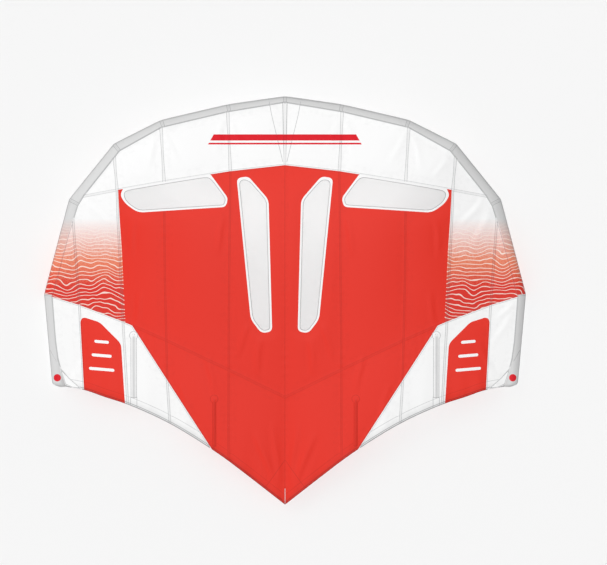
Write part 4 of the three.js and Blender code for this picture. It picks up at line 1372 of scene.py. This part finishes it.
class WING_OT_handles(bpy.types.Operator):
    """Shapes the two grips under the strut"""

    bl_idname = "wing.handles"
    bl_label = "Grips"

    def execute(self, context):
        for name, middle_y in HANDLE_MIDDLES.items():
            path = handle_path(middle_y, HANDLE_RINGS)
            run = np.gradient(path, axis=0)
            heading = np.arctan2(run[:, 2], run[:, 1])
            deselect_all()
            bpy.ops.mesh.primitive_circle_add(
                vertices=24, radius=grip_radius(0.0), location=path[0],
                rotation=(heading[0] + math.pi / 2, 0, 0),
            )
            piece = context.object
            piece.name = f"{name}_grip"
            bpy.ops.object.transform_apply(location=True, rotation=True, scale=True)
            bpy.ops.object.mode_set(mode="EDIT")
            bpy.ops.mesh.select_all(action="SELECT")
            bpy.ops.mesh.edge_face_add()
            for k in range(1, HANDLE_RINGS):
                bpy.ops.mesh.extrude_region_move(
                    TRANSFORM_OT_translate={"value": tuple(path[k] - path[k - 1])}
                )
                turned = (heading[k] - heading[k - 1] + math.pi) % (2 * math.pi) - math.pi
                bpy.ops.transform.rotate(
                    value=-turned, orient_axis="X", orient_type="GLOBAL", center_override=tuple(path[k])
                )
                grown = grip_radius(k / (HANDLE_RINGS - 1)) / grip_radius((k - 1) / (HANDLE_RINGS - 1))
                bpy.ops.transform.resize(value=(grown, grown, grown), center_override=tuple(path[k]))
            bpy.ops.object.mode_set(mode="OBJECT")
            points = np.array([v.co for v in piece.data.vertices])
            off = np.linalg.norm(points[:, None] - path[None], axis=2).min(1)
            if off.max() > 0.02:
                raise RuntimeError(f"{piece.name} left its path by {off.max():.3f} m")
            deselect_all()
            activate(piece)
            bpy.ops.object.mode_set(mode="EDIT")
            bpy.ops.mesh.select_all(action="SELECT")
            bpy.ops.mesh.normals_make_consistent(inside=False)
            bpy.ops.object.mode_set(mode="OBJECT")
            finer = piece.modifiers.new("finer", "SUBSURF")
            finer.levels = finer.render_levels = 1
            bpy.ops.object.modifier_apply(modifier=finer.name)
            piece.data.materials.append(finish_named("grip"))
            piece.data.materials.append(finish_named("webbing"))
            for face in piece.data.polygons:
                nearest = int(np.argmin(np.linalg.norm(path - np.array(face.center), axis=1)))
                share = nearest / (HANDLE_RINGS - 1)
                face.material_index = int(min(share, 1 - share) < WEBBING_END)
            piece.data.shade_smooth()
            piece.data.set_sharp_from_angle(angle=math.radians(45))
            hand_over(piece, "grip", name)
        return {"FINISHED"}


def pale_sky(stage):
    """Soft light all round, and as pale as the floor where it meets the horizon."""
    world = bpy.data.worlds.new("sky")
    world.use_nodes = True
    tree = world.node_tree
    sky = next(n for n in tree.nodes if n.type == "BACKGROUND")
    sky.inputs["Color"].default_value = rgba(stage.sky_colour)
    way = tree.nodes.new("ShaderNodeTexCoord")
    split = tree.nodes.new("ShaderNodeSeparateXYZ")
    fade = tree.nodes.new("ShaderNodeMapRange")
    ends = {"From Min": 0.03, "From Max": 0.09, "To Min": stage.horizon, "To Max": stage.sky}
    for key, value in ends.items():
        fade.inputs[key].default_value = value
    tree.links.new(way.outputs["Generated"], split.inputs["Vector"])
    tree.links.new(split.outputs["Z"], fade.inputs["Value"])
    tree.links.new(fade.outputs["Result"], sky.inputs["Strength"])
    return world


class WING_OT_stage(bpy.types.Operator):
    """Sets the pale floor, the soft light and the camera straight above"""

    bl_idname = "wing.stage"
    bl_label = "Stage"

    def execute(self, context):
        scene, stage = context.scene, context.scene.wing_stage
        scene.view_settings.view_transform = "Standard"
        deselect_all()
        bpy.ops.mesh.primitive_plane_add(size=400.0, location=(0, 0, -0.0004))
        floor = context.object
        floor.name = "floor"
        floor.data.transform(floor.matrix_world)
        floor.matrix_world.identity()
        floor.data.materials.append(finish_named("floor"))

        scene.world = pale_sky(stage)
        lights = (
            ("overhead", stage.overhead, (0.0, 0.0, 0.0), 7.0, True),
            ("key", stage.key, (math.radians(-30), math.radians(-46), 0.0), 40.0, False),
        )
        for name, energy, turned, spread, shadow in lights:
            bpy.ops.object.light_add(type="SUN", location=(0, 0, 5), rotation=turned)
            light = context.object
            light.name = name
            light.data.energy = energy
            light.data.angle = math.radians(spread)
            light.data.use_shadow = shadow

        distance = PIXEL * PHOTO_WIDTH * stage.lens / SENSOR
        x = (PHOTO_WIDTH / 2 - PHOTO_MIDDLE[0]) * PIXEL
        y = (PHOTO_MIDDLE[1] - PHOTO_HEIGHT / 2) * PIXEL
        bpy.ops.object.camera_add(location=(x, y, FOCUS_HEIGHT + distance), rotation=(0, 0, 0))
        camera = context.object
        camera.name = "camera"
        camera.data.lens = stage.lens
        camera.data.sensor_width = SENSOR
        camera.data.clip_end = 500.0
        scene.camera = camera
        return {"FINISHED"}


def length_setting(name, description, default):
    return FloatProperty(name=name, description=description, default=default, unit="LENGTH")


def colour_setting(name, description, default):
    return FloatVectorProperty(name=name, description=description, default=default, subtype="COLOR")


def strength_setting(name, description, default):
    return FloatProperty(name=name, description=description, default=default, min=0.0)


class WingSizes(bpy.types.PropertyGroup):
    """Sizes of the sewn and inflated parts"""

    cloth: length_setting("Cloth", "Thickness of the canopy cloth", 0.0012)
    step: length_setting("Mesh step", "Distance between points in the cloth", 0.0125)
    seam_rise: length_setting("Seam rise", "How far a seam stands up", 0.0007)
    pucker: length_setting("Pucker", "Height of the puckers beside a seam", 0.0009)
    bulge: length_setting("Bulge", "How far a panel swells between its seams", 0.0060)
    crease: FloatProperty(
        name="Creases", description="Strength of the drawn creases", default=1.7, subtype="FACTOR"
    )
    border: length_setting("Window border", "Width of the cloth round a window", 0.012)
    tube_wrinkle: length_setting("Tube wrinkles", "Depth of the wrinkles beside a tube seam", 0.0016)
    tube_sides: IntProperty(name="Tube sides", description="Points round a tube", default=72, min=24)


class WingColours(bpy.types.PropertyGroup):
    """Colours of the cloth, the film and the grips"""

    white: colour_setting("White cloth", "White panels", (0.875, 0.875, 0.875))
    red: colour_setting("Red cloth", "Red panels and print", (0.74, 0.029, 0.015))
    # Tube cloth is darker than the canopy cloth: partly its own greyer tone, partly painted shade of the
    # rounded tube
    tube: colour_setting("Tube cloth", "Leading edge and strut", (0.63, 0.63, 0.63))
    patch: colour_setting("Tip patch", "Corner patches", (0.88, 0.88, 0.88))
    film: colour_setting("Window film", "Film of the windows", (0.93, 0.935, 0.935))
    thread: colour_setting("Thread", "Stitching on white cloth", (0.28, 0.285, 0.29))
    edge: colour_setting("Hem shade", "Shade of hems and doubled white cloth", (0.20, 0.205, 0.21))
    mark: colour_setting("Mark", "Plain marks on the white cloth", (0.66, 0.005, 0.015))
    grip: colour_setting("Grip", "Foam and webbing of the grips", (0.02, 0.021, 0.023))


class WingStage(bpy.types.PropertyGroup):
    """Floor, light and camera"""

    floor: colour_setting("Floor", "Floor colour", (0.845, 0.845, 0.845))
    sky_colour: colour_setting("Sky", "Colour of the soft light all round", (1.0, 1.0, 1.0))
    sky: strength_setting("Sky strength", "Strength of the soft light all round", 0.24)
    horizon: strength_setting("Horizon", "Strength of the sky at the horizon", 0.92)
    overhead: strength_setting("Overhead", "Strength of the light from above", 2.0)
    key: strength_setting("Key", "Strength of the light from the upper left", 1.15)
    lens: FloatProperty(name="Lens", description="Focal length in millimetres", default=260.0, min=20.0)


class WING_PT_wing(bpy.types.Panel):
    """The wing's pieces and their settings"""

    bl_idname = "WING_PT_wing"
    bl_label = "Foiling wing"
    bl_space_type = "VIEW_3D"
    bl_region_type = "UI"
    bl_category = "Wing"

    def draw(self, context):
        scene = context.scene
        for group in (scene.wing_sizes, scene.wing_colours, scene.wing_stage):
            box = self.layout.box()
            for key in group.__annotations__:
                box.prop(group, key)
        for operator in OPERATORS:
            self.layout.operator(operator.bl_idname)


OPERATORS = (
    WING_OT_stage,
    WING_OT_leading_edge,
    WING_OT_strut,
    WING_OT_canopy,
    WING_OT_windows,
    WING_OT_pockets,
    WING_OT_tip_patches,
    WING_OT_handles,
)
GROUPS = {"wing_sizes": WingSizes, "wing_colours": WingColours, "wing_stage": WingStage}


def register():
    for group in GROUPS.values():
        bpy.utils.register_class(group)
    for operator in OPERATORS:
        bpy.utils.register_class(operator)
    bpy.utils.register_class(WING_PT_wing)
    for key, group in GROUPS.items():
        setattr(bpy.types.Scene, key, PointerProperty(type=group))


def unregister():
    for key in GROUPS:
        delattr(bpy.types.Scene, key)
    for cls in (WING_PT_wing, *OPERATORS, *GROUPS.values()):
        bpy.utils.unregister_class(cls)


def main():
    register()
    bpy.ops.wing.stage()
    bpy.ops.wing.leading_edge()
    bpy.ops.wing.strut()
    bpy.ops.wing.canopy()
    bpy.ops.wing.windows()
    bpy.ops.wing.pockets()
    bpy.ops.wing.tip_patches()
    bpy.ops.wing.handles()


if __name__ == "__main__":
    main()
